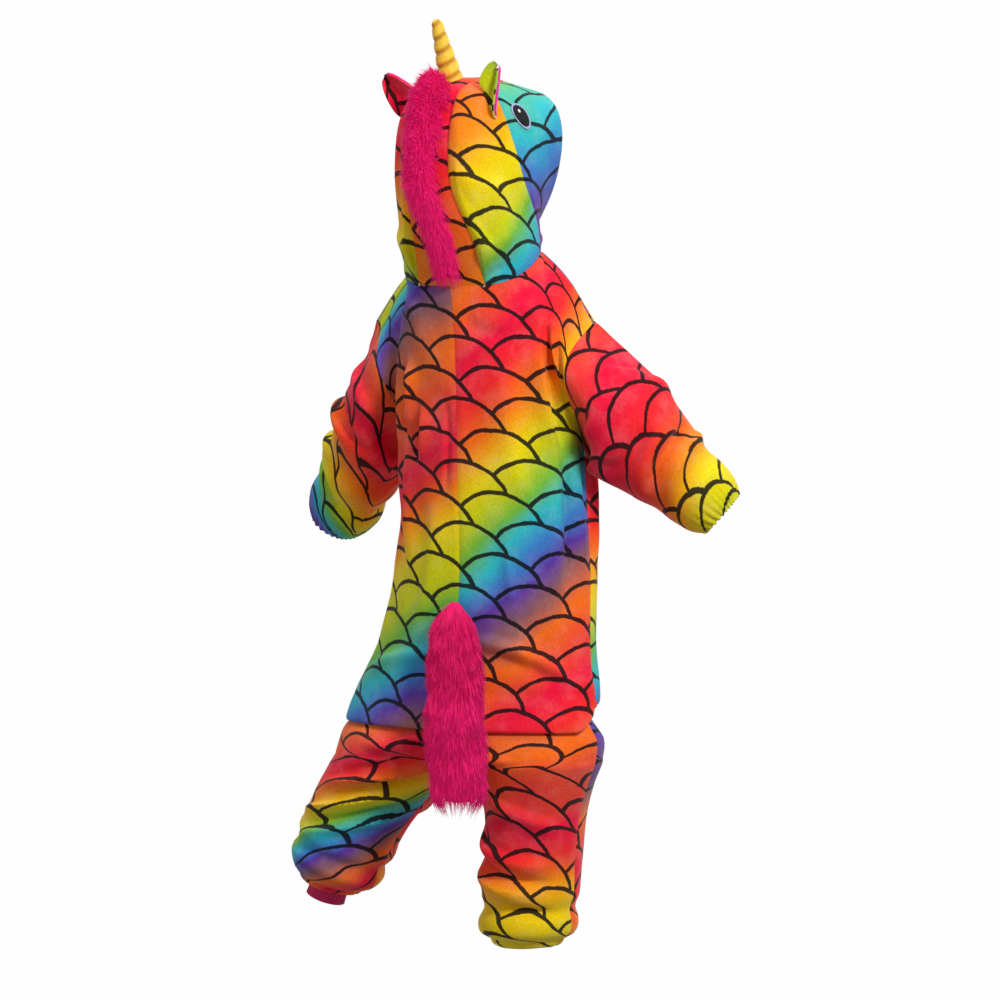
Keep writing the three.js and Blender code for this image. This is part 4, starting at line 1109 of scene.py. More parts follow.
def wall_of(outer: Array, out: Array, thick: float, ring: bool, cloth: Array, dye_and_painted_light: Array) -> Mesh:
    """A closed wall: the outer grid, the same grid moved in along its normals, and end faces between their borders.

    Args:
        outer: Rows by columns of points.
        out: Their ways out.
        thick: The wall's thickness.
        ring: Whether the columns close on themselves.
        cloth: Cloth places, with one more column on a ring.
        dye_and_painted_light: Phases at the points.

    Returns:
        The mesh, whose inner faces have material 1.
    """
    rows, columns = outer.shape[:2]
    count = rows * columns
    inner = outer - out * thick
    wide = cloth.shape[1]
    mapped = cloth.reshape(-1, 2)
    outside = faces_between(rows, columns, 0, ring, False)
    chart = faces_between(rows, wide, 0, False, False)
    faces, corners = [outside, outside[:, ::-1] + count], [chart, chart[:, ::-1]]
    numbers = [np.zeros(len(outside), int), np.ones(len(outside), int)]
    for loop in border_loops(rows, wide, ring):
        vertex = loop[:, 0] * columns + loop[:, 1] % columns
        place = loop[:, 0] * wide + loop[:, 1]
        a, b = vertex[:-1], vertex[1:]
        faces.append(np.stack([a, b, b + count, a + count], -1))
        corners.append(np.stack([place[:-1], place[1:], place[1:], place[:-1]], -1))
        numbers.append(np.zeros(len(a), int))
    points = np.concatenate([outer.reshape(-1, 3), inner.reshape(-1, 3)])
    return Mesh(
        points,
        np.concatenate(faces),
        np.tile(dye_and_painted_light.ravel(), 2),
        mapped[np.concatenate(corners)],
        np.concatenate(numbers),
    ).outward()


def lengths(points: Array, axis: int) -> Array:
    """Distances along a grid from its start: running sums of the steps between neighbours."""
    steps = np.linalg.norm(np.diff(points, axis=axis), axis=-1)
    start = np.zeros_like(np.take(steps, [0], axis=axis))
    return np.concatenate([start, np.cumsum(steps, axis=axis)], axis=axis)


def closed_round(points: Array) -> Array:
    """A ring's grid with its first column again at the end."""
    return np.concatenate([points, points[:, :1]], axis=1)


Chart = Callable[[Array, Array], tuple[Array, Array]]


@dataclass
class Panel:
    """One cut piece of printed plush: its surface, its print and dye, and the folds laid in it."""

    name: str
    surface: Surface
    rows: Array
    columns: Array
    facing: int
    run: int
    bands: Bands
    tilt: float = 0.0
    folds: tuple[Fold, ...] = ()
    zero_row: float = 0.0
    ring: bool = False
    seed: int = 1
    ripple_rise: float = 1.3
    ripple_size: float = 95.0
    free_end: bool = False
    chart: Chart | None = None
    extra: Callable[[Array, Array, Array], Array] | None = None
    held: str = "gathered"
    thick: float = PLUSH
    hem: tuple[float, float] = (1e9, 1e9)
    puff: float = 1.0

    def places(self, points: Array, u: Array, v: Array) -> tuple[Array, Array]:
        """Cloth places: across from the centre seam (or from the top of a tube) and down from the zero row."""
        if self.chart is not None:
            return self.chart(u, v)
        down = lengths(points, 0)
        zero = int(np.argmin(np.abs(self.rows - self.zero_row)))
        down = down - down[zero]
        if self.ring:
            across = lengths(closed_round(points), 1)[:, :-1]
            return across - across[:, points.shape[1] // 2][:, None], down
        return lengths(points, 1), down

    def build(self, wardrobe: Wardrobe) -> bpy.types.Object:
        """Makes the piece: the surface plus its relief along its normals, as a wall with a printed map."""
        u, v = np.meshgrid(self.columns, self.rows)
        flat = self.surface(u, v)
        out = ways_out(flat, self.facing, self.ring)
        across, down = self.places(flat, u, v)
        cloth = np.stack([across, down], -1)
        from_top = lengths(flat, 0)
        border = from_top if self.free_end else np.minimum(from_top, from_top[-1] - from_top)
        if not self.ring:
            side = lengths(flat, 1)
            border = np.minimum(border, np.minimum(side, side[:, -1:] - side))
        relief = ripple(cloth, self.seed, self.ripple_rise, self.ripple_size)
        relief = sum((fold.height(cloth) for fold in self.folds), relief) * smooth(border, *FOLD_BORDER)
        doubled, turned_in = self.hem
        relief = np.where(v > doubled, np.maximum(relief, -HEM_TROUGH), relief)
        relief = relief * (1 - smooth(v, turned_in, turned_in + 0.6))
        relief = relief + self.puff * (smooth(border, *PUFF_RISE) - smooth(border, *PUFF_FALL))
        if self.extra is not None:
            relief = relief + self.extra(u, v, flat)
        points = self.drawn_in(flat + out * relief[..., None])
        normals = ways_out(points, self.facing, self.ring)
        inner_way = unit(normals + out)
        chart = np.stack([self.run * across, -down], -1)
        if self.ring:
            girth = np.linalg.norm(flat[:, 0] - flat[:, -1], axis=-1) + across[:, -1]
            last = np.stack([self.run * girth, -down[:, 0]], -1)[:, None]
            chart = np.concatenate([chart, last], axis=1)
        dye_and_painted_light = phase_at(self.bands, down + self.tilt * np.abs(across))
        mesh = wall_of(points, inner_way, self.thick, self.ring, chart, dye_and_painted_light)
        piece = mesh.build(f"{self.name}_cloth", [wardrobe.get(Finish.PLUSH), wardrobe.get(Finish.WRONG_SIDE)])
        settle(piece, "printed_plush", self.name)
        return piece

    def drawn_in(self, points: Array) -> Array:
        """Borders moved in by half a seam towards their neighbours."""
        moved = points.copy()
        pairs = [(0, 1), (-1, -2)]
        for edge, near in pairs:
            moved[edge] += unit(points[near] - points[edge]) * SEAM / 2
        if not self.ring:
            for edge, near in pairs:
                moved[:, edge] += unit(points[:, near] - points[:, edge]) * SEAM / 2
        return moved


def spread(*stretches: tuple[float, float, int]) -> Array:
    """Places along stretches that share their ends, from (start, end, steps)."""
    parts = [np.linspace(start, end, count + 1) for start, end, count in stretches]
    return np.concatenate([parts[0]] + [part[1:] for part in parts[1:]])


def seeded_folds(*rows: tuple[float, ...]) -> tuple[Fold, ...]:
    """Folds from rows of start, end, width, height, bow and lean."""
    return tuple(Fold((a, b), (c, d), wide, rise, bow, lean) for a, b, c, d, wide, rise, bow, lean in rows)


LARGE_FOLDS = {
    "back_right": ((0.62, 300, 0.07, 150, 5), (0.8, 350, 0.06, 120, -6), (0.9, 470, 0.06, 110, 5)),
    "back_left": ((0.75, 380, 0.07, 120, 6), (0.2, 430, 0.08, 90, -4)),
    "front_left": ((0.6, 420, 0.09, 160, 6), (0.4, 700, 0.12, 60, 5)),
    "front_right": ((0.55, 400, 0.09, 160, -6), (0.5, 705, 0.12, 60, 5)),
    "leg_left_back": ((0.35, 700, 0.12, 50, -5),),
    "leg_right_back": ((0.6, 720, 0.12, 60, -5),),
}


class Body:
    """The back, the front and the seat and legs of the costume."""

    BACK_BANDS = {
        Side.RIGHT: (
            (-207, -0.1), (-120, 0), (-40, 0.1), (0, 0.18), (60, 0.36), (122, 0.49), (168, 0.59), (228, 0.69),
            (258, 0.74), (292, 0.81), (338, 0.89), (400, 0.97), (450, 1.02),
        ),
        Side.LEFT: (
            (-267, -0.28), (-232, -0.2), (-152, -0.11), (-34, 0), (26, 0.16), (80, 0.36), (147, 0.45), (228, 0.605),
            (290, 0.72),
        ),
    }
    FRONT_BANDS = {
        Side.LEFT: ((-200, -0.49), (56, 0.0), (140, 0.16), (245, 0.36), (581, 1.0), (665, 1.16)),
        Side.RIGHT: (
            (-200, 0.83), (0, 1.0), (85, 1.16), (139, 1.36), (245, 1.605), (326, 1.72), (400, 1.8), (460, 1.89),
            (520, 2.0), (600, 2.16), (660, 2.36),
        ),
    }
    LEG_BANDS = {
        Side.LEFT: ((35, 0), (80, 0.1), (118, 0.27), (148, 0.38), (172, 0.5), (195, 0.6), (222, 0.68), (255, 0.79)),
        Side.RIGHT: (
            (-20, 0.82), (60, 0.87), (110, 0.9), (150, 0.94), (190, 0.97), (240, 1.03), (272, 1.12), (296, 1.24),
            (330, 1.34), (390, 1.38),
        ),
    }
    TILTS = {"back": {Side.RIGHT: 0.9, Side.LEFT: -0.6}, "leg": {Side.RIGHT: 0.3, Side.LEFT: -0.3}}

    # Folds: start across and down, end across and down, width, height, bow, lean.
    BACK_FOLDS = {
        Side.RIGHT: seeded_folds(
            (118, -158, 136, -14, 9, 6.5, 6, 0.6), (133, -150, 150, -20, 8, -5.0, 5, 0.2),
            (136, -20, 128, 200, 13, 4.5, -9, 0.4), (146, -10, 143, 180, 9, -4.0, -6, 0.2),
            (70, -130, 98, 70, 17, 3.2, 12, 0.3), (50, 90, 96, 260, 15, -3.2, 8, 0.3),
            (60, 110, 108, 280, 11, 3.0, 8, 0.4), (18, 240, 165, 296, 11, 3.4, -14, 0.4),
            (30, 255, 180, 318, 9, -3.2, -12, 0.2), (10, 338, 215, 318, 7, -3.6, 7, 0.2),
            (168, -40, 192, 150, 12, 4.0, 7, 0.4), (154, -196, 160, -100, 9, 4.0, 5, 0.5),
            (90, -215, 148, -185, 10, 3.0, 8, 0.3), (12, -190, 88, -168, 12, -2.2, 10, 0.2),
        ),
        Side.LEFT: seeded_folds(
            (88, -132, 96, -32, 8, 6.0, 5, 0.6), (100, -128, 108, -30, 7, -4.6, 5, 0.2),
            (57, -66, 68, 2, 8, 4.6, 4, 0.6), (66, -60, 77, 6, 6, -3.6, 4, 0.2), (14, -76, 20, 36, 7, -4.0, 5, 0.4),
            (96, -20, 88, 160, 13, 4.0, -8, 0.4), (130, -140, 150, 60, 12, 4.6, 8, 0.4),
            (142, -120, 160, 70, 8, -3.6, 8, 0.2), (40, 60, 72, 240, 15, 3.2, 9, 0.3),
            (20, 262, 160, 300, 11, 3.4, -12, 0.4), (10, 338, 200, 320, 7, -3.6, 7, 0.2),
            (60, -220, 130, -190, 10, 3.0, 8, 0.3),
        ),
    }
    FRONT_FOLDS = {
        Side.LEFT: seeded_folds(
            (30, -150, 120, -40, 12, 4.5, 12, 0.4), (60, -90, 150, 60, 14, -4.0, 12, 0.3),
            (50, 60, 110, 250, 15, 4.6, -14, 0.4), (110, 40, 150, 240, 12, -4.0, 10, 0.2),
            (20, 250, 140, 330, 12, 5.0, 16, 0.5), (30, 280, 160, 352, 9, -4.2, 16, 0.2),
            (20, 390, 130, 420, 11, 4.2, 14, 0.4), (30, 470, 150, 500, 10, 4.6, 12, 0.5),
            (40, 500, 150, 528, 8, -4.0, 12, 0.2), (20, 540, 140, 556, 8, 4.4, 10, 0.5),
            (160, -60, 176, 160, 12, 4.0, 6, 0.4),
        ),
        Side.RIGHT: seeded_folds(
            (26, -140, 110, -30, 12, -4.2, 12, 0.4), (40, -110, 130, 20, 13, 4.6, 12, 0.4),
            (60, 40, 96, 260, 15, 4.4, 14, 0.4), (116, 70, 140, 260, 12, -4.0, 8, 0.2),
            (20, 262, 150, 330, 12, 4.8, 16, 0.5), (20, 410, 120, 440, 12, 4.6, 14, 0.4),
            (30, 500, 130, 520, 11, 4.8, 12, 0.5), (20, 545, 130, 560, 9, -4.4, 10, 0.2),
            (20, 590, 130, 602, 9, 4.6, 10, 0.5), (162, -40, 180, 150, 12, 4.0, 6, 0.4),
        ),
    }
    LEG_FOLDS = {
        Side.LEFT: seeded_folds(
            (20, 22, 120, 60, 13, 3.6, 12, 0.4), (60, 40, 160, 110, 12, -3.6, 12, 0.3),
            (40, 96, 170, 128, 9, 4.8, 12, 0.5), (30, 122, 150, 146, 7, -4.2, 10, 0.2),
            (60, 160, 180, 168, 8, 4.6, 9, 0.5), (30, 186, 140, 196, 7, -4.2, 8, 0.2),
            (20, 206, 160, 212, 7, 4.0, 8, 0.5),
        ),
        Side.RIGHT: seeded_folds(
            (30, 30, 140, 84, 14, 3.4, 12, 0.4), (20, 90, 100, 150, 13, -3.4, 12, 0.3),
            (60, 130, 180, 168, 12, 4.0, 12, 0.4), (30, 206, 160, 222, 10, 5.2, 12, 0.5),
            (40, 232, 170, 244, 8, -4.6, 10, 0.2), (20, 252, 150, 264, 9, 5.0, 10, 0.5),
            (60, 276, 180, 284, 7, -4.2, 8, 0.2),
        ),
    }

    def large(self, name: str) -> Callable[[Array, Array, Array], Array]:
        """The large soft folds of a piece: bells across and along, that fade at its side edges."""

        def height(u: Array, v: Array, _: Array) -> Array:
            """Their height at places on the piece."""
            total = np.zeros_like(u)
            for across, down, wide, long, rise in LARGE_FOLDS[name]:
                total += rise * np.exp(-(((u - across) / wide) ** 2) - ((v - down) / long) ** 2)
            fade = smooth(v, ARMPIT, ARMPIT + LARGE_FADE_IN)
            if name.startswith("back"):
                fade = fade * (1 - smooth(v, FOLD_START - LARGE_FADE_OUT, FOLD_START))
            return total * np.sin(math.pi * np.clip(u, 0, 1)) * fade

        return height

    def columns(self, face: Face, count: int) -> Array:
        """Columns with one at the shoulder point."""
        share = NECK_SHARE[face]
        inner = round(count * share)
        return spread((0, share, inner), (share, 1, count - inner))

    def panels(self, side: Side) -> list[Panel]:
        """The back, the front and the leg's back of one side."""
        lowest = LEGS[side][-1, 0]
        yoke = spread((-1.0, 0.0, 40))
        body = spread((ARMPIT, FOLD_START, 82))
        hem = HEM_ROWS + np.concatenate([np.linspace(0.1, 1, 9), np.linspace(1.1, 2, 10), np.linspace(2.12, 3, 8)])
        turn = LEG_HEM_ROWS + np.concatenate([np.linspace(0.1, 1, 10), np.linspace(1.2, 2, 5)])
        legs = spread((SEAT_ZIP + ZIP_CLEAR, lowest, round((lowest - SEAT_ZIP) / 3.6)))
        front = spread((ARMPIT, lowest, round((lowest - ARMPIT) / 3.9)))
        word, hand = side.word, side.value
        return [
            Panel(
                f"back_{word}",
                lambda u, v: on_body(side, Face.BACK, u, v),
                np.concatenate([yoke[:-1], body, hem]),
                self.columns(Face.BACK, 84),
                -hand,
                -hand,
                self.BACK_BANDS[side],
                self.TILTS["back"][side],
                self.BACK_FOLDS[side],
                ARMPIT,
                seed=11 + hand,
                extra=self.large(f"back_{word}"),
                hem=(FOLD_START - HEM_LEAD, HEM_ROWS + 0.5),
                free_end=True,
            ),
            Panel(
                f"front_{word}",
                lambda u, v: on_body(side, Face.FRONT, u, v),
                np.concatenate([yoke[:-1], front, turn]),
                self.columns(Face.FRONT, 72),
                hand,
                hand,
                self.FRONT_BANDS[side],
                0.2 * hand,
                self.FRONT_FOLDS[side],
                ARMPIT,
                seed=21 + hand,
                extra=self.large(f"front_{word}"),
                hem=(lowest - HEM_LEAD, LEG_HEM_ROWS - 0.5),
                free_end=True,
            ),
            Panel(
                f"leg_{word}_back",
                lambda u, v: on_body(side, Face.BACK, u, v),
                np.concatenate([legs, turn]),
                spread((0, 1, 66)),
                -hand,
                -hand,
                self.LEG_BANDS[side],
                self.TILTS["leg"][side],
                self.LEG_FOLDS[side],
                SEAT_ZIP + ZIP_CLEAR,
                seed=31 + hand,
                extra=self.large(f"leg_{word}_back"),
                hem=(lowest - HEM_LEAD, LEG_HEM_ROWS - 0.5),
                free_end=True,
            ),
        ]

    def build(self, wardrobe: Wardrobe) -> None:
        """Makes all the body's pieces."""
        for side in Side:
            for panel in self.panels(side):
                panel.build(wardrobe)


@dataclass
class Sleeves:
    """One-piece sleeves with gathers at their elastic hems."""

    gathers: int = 30
    gather_rise: float = 1.5

    BANDS = {
        Side.RIGHT: ((60, 0), (143, 0.06), (190, 0.17), (225, 0.3), (250, 0.37), (290, 0.41)),
        Side.LEFT: ((45, 0), (115, 0.12), (160, 0.26), (190, 0.38), (215, 0.5), (240, 0.6), (265, 0.68), (300, 0.76)),
    }
    FOLDS = {
        Side.LEFT: seeded_folds(
            (-150, 20, -20, 60, 12, 4.0, 14, 0.4), (-170, 60, -40, 112, 10, -4.0, 14, 0.3),
            (-120, 108, 20, 128, 9, 5.0, 12, 0.6), (-110, 128, 30, 146, 7, -4.4, 12, 0.2),
            (-90, 176, 40, 184, 8, 4.6, 10, 0.5), (-120, 198, 10, 206, 6, -3.8, 10, 0.2),
            (40, 60, 160, 110, 12, 4.2, 12, 0.4), (30, 150, 140, 176, 9, -4.0, 12, 0.3),
            (10, 10, 30, 110, 14, 3.2, 8, 0.3),
        ),
        Side.RIGHT: seeded_folds(
            (-170, 24, -40, 88, 13, 4.4, 16, 0.4), (-190, 70, -70, 150, 11, -4.2, 14, 0.3),
            (-150, 128, -20, 164, 9, 5.0, 12, 0.6), (-140, 152, -10, 184, 7, -4.4, 12, 0.2),
            (-110, 190, 10, 204, 8, 4.4, 10, 0.5), (-60, 40, 10, 140, 14, 3.4, 10, 0.4),
            (50, 50, 170, 120, 13, 4.4, 12, 0.4), (30, 150, 140, 190, 10, -4.2, 12, 0.3),
        ),
    }

    def gathered(self, u: Array, v: Array, _: Array) -> Array:
        """Small waves round the sleeve that grow towards its hem, of uneven strength."""
        uneven = 0.65 + 0.35 * np.sin(2 * math.pi * (3 * u + 0.2)) * np.sin(2 * math.pi * (5 * u + 0.7))
        waves = np.sin(2 * math.pi * (self.gathers * u + 0.35 * np.sin(6 * math.pi * u)))
        return self.gather_rise * waves * uneven * smooth(v, 0.84, 1.0) * (1 - smooth(v, 1.6, 2.2))

    def build(self, wardrobe: Wardrobe) -> None:
        """Makes both sleeves."""
        tube = spread((0, SLEEVE_CAP, 36), (SLEEVE_CAP, 1, 62))
        rows = np.concatenate([tube, np.linspace(1.1, 2, 10), np.linspace(2.2, 3, 5)])
        for side in Side:
            Panel(
                f"sleeve_{side.word}",
                lambda u, v, side=side: on_sleeve(side, u, v),
                rows,
                np.arange(132) / 132,
                -side.value,
                -side.value,
                self.BANDS[side],
                0.0,
                self.FOLDS[side],
                0.0,
                ring=True,
                seed=41 + side.value,
                free_end=True,
                extra=self.gathered,
                hem=(0.94, 1.0),
            ).build(wardrobe)


@dataclass
class Hood:
    """The hood: two bands round the face, two sides, and the strip over the crown that carries mane and horn."""

    reach: float = 95.0
    eye: tuple[float, float] = (0.6, 0.3)

    SIDE_BANDS = {
        Side.RIGHT: (
            (-190, 0.14), (-111, 0.22), (-80, 0.29), (-44, 0.35), (0, 0.39), (28, 0.44), (68, 0.55), (140, 0.66),
        ),
        Side.LEFT: ((-250, -0.05), (-146, 0.08), (-19, 0.43), (30, 0.55)),
    }
    BAND_BANDS = {
        Side.RIGHT: ((-235, 0.57), (-190, 0.6), (-150, 0.64), (-90, 0.72), (-20, 0.79)),
        Side.LEFT: ((-235, 0.2), (-120, 0.4), (0, 0.62)),
    }
    SIDE_TILT = {Side.RIGHT: 1.0, Side.LEFT: 0.0}
    STRIP_BANDS = ((0, 0.8), (100, 0.92), (165, 1.0), (250, 1.05), (330, 1.14), (430, 1.2))
    SIDE_FOLDS = {
        Side.RIGHT: seeded_folds(
            (30, -30, 110, -58, 12, 3.0, 10, 0.4), (20, 0, 120, -16, 9, -2.6, 8, 0.2),
            (40, -130, 120, -110, 16, 2.2, 10, 0.3), (60, -200, 70, -60, 15, 2.0, 8, 0.3),
        ),
        Side.LEFT: seeded_folds(
            (20, -34, 110, -52, 12, 3.0, 10, 0.4), (30, 2, 120, -12, 9, -2.6, 8, 0.2),
            (50, -180, 62, -70, 14, -2.0, 8, 0.3),
        ),
    }
    BAND_FOLDS = {
        Side.RIGHT: seeded_folds((130, -40, 240, -60, 13, 2.8, 10, 0.4), (140, -10, 230, -20, 9, -2.4, 8, 0.2)),
        Side.LEFT: seeded_folds((130, -46, 240, -56, 13, 2.8, 10, 0.4), (140, -6, 230, -24, 9, -2.4, 8, 0.2)),
    }

    def chart(self, side: Side) -> Chart:
        """Cloth places of the hood as round a drum: the angle from the back times a radius, and the height."""

        def places(arch: Array, at: Array) -> tuple[Array, Array]:
            """Across towards the face, and down."""
            x, y, z = np.moveaxis(hood_form(side, arch, at), -1, 0)
            turn = np.arctan2(side.value * x, y + 4)
            return self.reach * turn, -(z + 0.7 * (self.reach - np.hypot(x, y + 4)))

        return places

    def calm(self, side: Side) -> Callable[[Array, Array, Array], Array]:
        """A slight flat under the eye, where the felt is sewn down."""

        def height(arch: Array, at: Array, points: Array) -> Array:
            """A shallow bell round the eye's middle."""
            middle = on_hood(side, np.array(self.eye[0]), np.array(self.eye[1]))
            far = np.linalg.norm(points - middle, axis=-1)
            return -1.0 * (1 - smooth(far, 16, 34))

        return height

    def build(self, wardrobe: Wardrobe) -> None:
        """Makes the hood's five pieces."""
        arches = spread((0, 1, 60))
        for side in Side:
            rear = (STRIP_POINT, SHOULDER_POINT, 64)
            for word, places, bands, tilt, folds in (
                ("side", rear, self.SIDE_BANDS[side], self.SIDE_TILT[side], self.SIDE_FOLDS[side]),
                ("band", (SHOULDER_POINT, 0, 46), self.BAND_BANDS[side], 0.0, self.BAND_FOLDS[side]),
            ):
                Panel(
                    f"hood_{word}_{side.word}",
                    lambda u, v, side=side: on_hood(side, u, v),
                    spread(places)[::-1],
                    arches,
                    side.value,
                    -side.value,
                    bands,
                    tilt,
                    folds,
                    seed=51 + side.value + len(word),
                    ripple_rise=0.8,
                    chart=self.chart(side),
                    extra=self.calm(side) if word == "band" else None,
                ).build(wardrobe)
        Panel(
            "hood_centre_strip",
            on_strip,
            spread((0, 1, 130)),
            spread((-1, 1, 22)),
            -1,
            -1,
            self.STRIP_BANDS,
            seed=61,
            ripple_rise=0.5,
            chart=self.strip_chart,
        ).build(wardrobe)

    def strip_chart(self, across: Array, at: Array) -> tuple[Array, Array]:
        """Cloth places of the strip: from its middle, and along it from the forehead."""
        middle = on_strip(np.zeros_like(at[:, :1]), at[:, :1])
        down = lengths(middle, 0)
        return along(HOOD, at)[..., 0] * across, np.broadcast_to(down, across.shape)


# ---------- Sewn-on pieces ----------
def hood_out(side: Side, arch: Array, at: Array) -> Array:
    """The way out of the hood at places on it, by small steps across and along."""
    nudge = 1e-3
    across = on_hood(side, arch + nudge, at) - on_hood(side, arch - nudge, at)
    down = on_hood(side, arch, at + nudge) - on_hood(side, arch, at - nudge)
    return unit(np.cross(down, across)) * side.value


def closed_rings(rings: Array, start: Array, end: Array) -> Mesh:
    """A full body in triangles from closed rings, with a point at each end.

    Args:
        rings: Rings by points by three.
        start: The first end's point.
        end: The last end's point.

    Returns:
        The mesh.
    """
    rows, count = rings.shape[:2]
    quads = faces_between(rows, count, 0, True, False)
    faces = [quads[:, [0, 1, 2]], quads[:, [0, 2, 3]]]
    i = np.arange(count)
    k = (i + 1) % count
    first, last = rows * count, rows * count + 1
    faces.append(np.stack([np.full(count, first), i, k], -1))
    base = (rows - 1) * count
    faces.append(np.stack([np.full(count, last), base + k, base + i], -1))
    points = np.concatenate([rings.reshape(-1, 3), start[None], end[None]])
    return Mesh(points, np.concatenate(faces)).outward()


@dataclass
class Eye:
    """An oval of felt with a pale rim and a small glint, sewn to the hood's band."""

    side: Side
    arch: float = 0.6
    place: float = 0.3
    tall: float = 15.0
    wide: float = 11.0
    tilt: float = 20.0
    thick: float = 1.6
    lift: float = 0.6

    def spots(self, radius: Array, raise_: Array, shift: Pair, tall: float, wide: float) -> Array:
        """Rings of points: ellipses turned on the hood, each of its own radius and height over the cloth."""
        arch, place = self.arch + shift[0], self.place + shift[1]
        one = np.array(arch), np.array(place)
        here = on_hood(self.side, *one)
        by_arch = np.linalg.norm(on_hood(self.side, one[0] + 0.01, one[1]) - here) / 0.01
        by_place = np.linalg.norm(on_hood(self.side, one[0], one[1] + 0.01) - here) / 0.01
        angle = np.arange(56) / 56 * 2 * math.pi
        a, b = tall * radius[:, None] * np.cos(angle), wide * radius[:, None] * np.sin(angle)
        turn = math.radians(self.tilt)
        up, over = a * math.cos(turn) - b * math.sin(turn), a * math.sin(turn) + b * math.cos(turn)
        at = (arch + up / by_arch, place + over / by_place)
        return on_hood(self.side, *at) + hood_out(self.side, *at) * raise_[:, None, None]

    def oval(self, low: float, high: float, shift: Pair = (0.0, 0.0), size: Pair | None = None) -> Mesh:
        """A domed oval: flat under, with a round edge."""
        tall, wide = size or (self.tall, self.wide)
        radius = np.array([0.5, 0.97, 1.0, 0.985, 0.93, 0.8, 0.5, 0.2])
        share = np.array([0, 0, 0.3, 0.62, 0.86, 0.96, 1.0, 1.05])
        rings = self.spots(radius, mix(low, high, share), shift, tall, wide)
        ends = self.spots(np.array([0.0, 0.0]), np.array([low, high + (high - low) * 0.06]), shift, tall, wide)
        return closed_rings(rings, ends[0, 0], ends[1, 0])

    def ring(self, inner: float, outer: float, low: float, high: float) -> Mesh:
        """A flat band round the oval with rounded edges."""
        middle = (inner + outer) / 2
        top = [mix(middle, outer, 0.6), mix(inner, middle, 0.4)]
        radius = np.array([inner, outer, outer * 1.01, *top, inner * 0.995])
        raise_ = np.array([low, low, mix(low, high, 0.6), high, high, mix(low, high, 0.6)])
        rings = self.spots(radius, raise_, (0.0, 0.0), self.tall, self.wide)
        rings = np.concatenate([rings, rings[:1]])
        count = rings.shape[1]
        quads = faces_between(len(rings), count, 0, True, False) % ((len(rings) - 1) * count)
        return Mesh(rings[:-1].reshape(-1, 3), quads).outward()

    def build(self, wardrobe: Wardrobe) -> None:
        """Makes the three layers."""
        name = f"eye_{self.side.word}"
        top = self.lift + self.thick
        pupil = self.oval(self.lift, top).build(f"{name}_felt", [wardrobe.get(Finish.BLACK)])
        settle(pupil, "felt_black", name)
        rim = self.ring(1.04, 1.2, self.lift, self.lift + self.thick / 2)
        settle(rim.build(f"{name}_halo", [wardrobe.get(Finish.PALE)]), "felt_pale", f"{name}_rim")
        glint = self.oval(top + SEAM, top + SEAM + 0.8, (0.022, 0.012), (2.3, 1.8))
        settle(glint.build(f"{name}_spark", [wardrobe.get(Finish.WHITE)]), "felt_white", f"{name}_glint")


@dataclass
class Ear:
    """A cupped ear of printed plush with a pink lining inside; the left one flops outwards."""

    side: Side
    at: float = 0.46
    high: float = 0.78
    low: float = 0.56
    wide: float = 23.0
    tall: float = 54.0
    cup: float = 15.0
    gap: float = 0.15
    lining: float = 1.6

    SPLAY = {Side.LEFT: 50.0, Side.RIGHT: 12.0}
    LIFT = {Side.LEFT: 2.5, Side.RIGHT: 3.5}
    BANDS = {Side.LEFT: ((0, -0.02), (60, 0.05)), Side.RIGHT: ((0, 0.42), (60, 0.5))}

    def base(self, across: Array) -> Array:
        """The line on the hood that the ear is sewn to."""
        arch = mix(self.high, self.low, np.asarray(across, float))
        return on_hood(self.side, arch, np.full_like(arch, self.at))

    def leaf(self, across: Array, rise: Array) -> Array:
        """A leaf that narrows by a curve of power 2.2, cupped across by a parabola, blended into its base line."""
        hand = self.side.value
        lateral = unit(self.base(1.0) - self.base(0.0))
        splay = math.radians(self.SPLAY[self.side])
        stand = unit(np.array([hand * math.sin(splay), 0.12, math.cos(splay)]))
        ahead = unit(np.cross(stand, lateral) * hand)
        over = 2 * across - 1
        held = np.clip(rise, 0, 1)
        half = self.wide * np.sqrt(1 - held**2.2) * (1 - 0.25 * rise) + 1.5 * rise
        cup = self.cup * (over**2 - 0.4) * (half / self.wide)
        leaf = (
            self.base(0.5)
            + stand * (self.tall * rise)[..., None]
            + lateral * (over * half)[..., None]
            + ahead * (cup - 6 * rise**2)[..., None]
        )
        seat = self.base(across) + stand * self.LIFT[self.side]
        return mix(seat, leaf, smooth(rise, 0, 0.3)[..., None])

    def build(self, wardrobe: Wardrobe) -> None:
        """Makes the ear and its lining."""
        hand, word = self.side.value, self.side.word
        rows = 0.985 * np.sin(np.linspace(0, math.pi / 2, 40))
        Panel(
            f"ear_{word}",
            self.leaf,
            rows,
            spread((0, 1, 40)),
            hand,
            -hand,
            self.BANDS[self.side],
            seed=71 + hand,
            ripple_rise=0.3,
            free_end=True,
            held="stretched",
            puff=0.3,
        ).build(wardrobe)
        u, v = np.meshgrid(np.linspace(0.04, 0.96, 34), np.linspace(0.12, 0.965, 36))
        flat = self.leaf(u, v)
        out = ways_out(flat, hand, False)
        inside = flat - out * (PLUSH + self.gap)
        puff = 0.5 * np.sin(math.pi * (u - 0.04) / 0.92) * np.sin(math.pi * (v - 0.12) / 0.845)
        cloth = np.stack([lengths(inside, 1), -lengths(inside, 0)], -1)
        mesh = wall_of(inside, out, self.lining + 0.4, False, cloth, np.zeros(u.shape)).plain()
        count = u.size
        mesh.vertices[count:] -= (out * puff[..., None]).reshape(-1, 3)
        piece = mesh.build(f"ear_{word}_lining", [wardrobe.get(Finish.LINING)])
        settle(piece, "ear_lining", f"ear_{word}_inner")


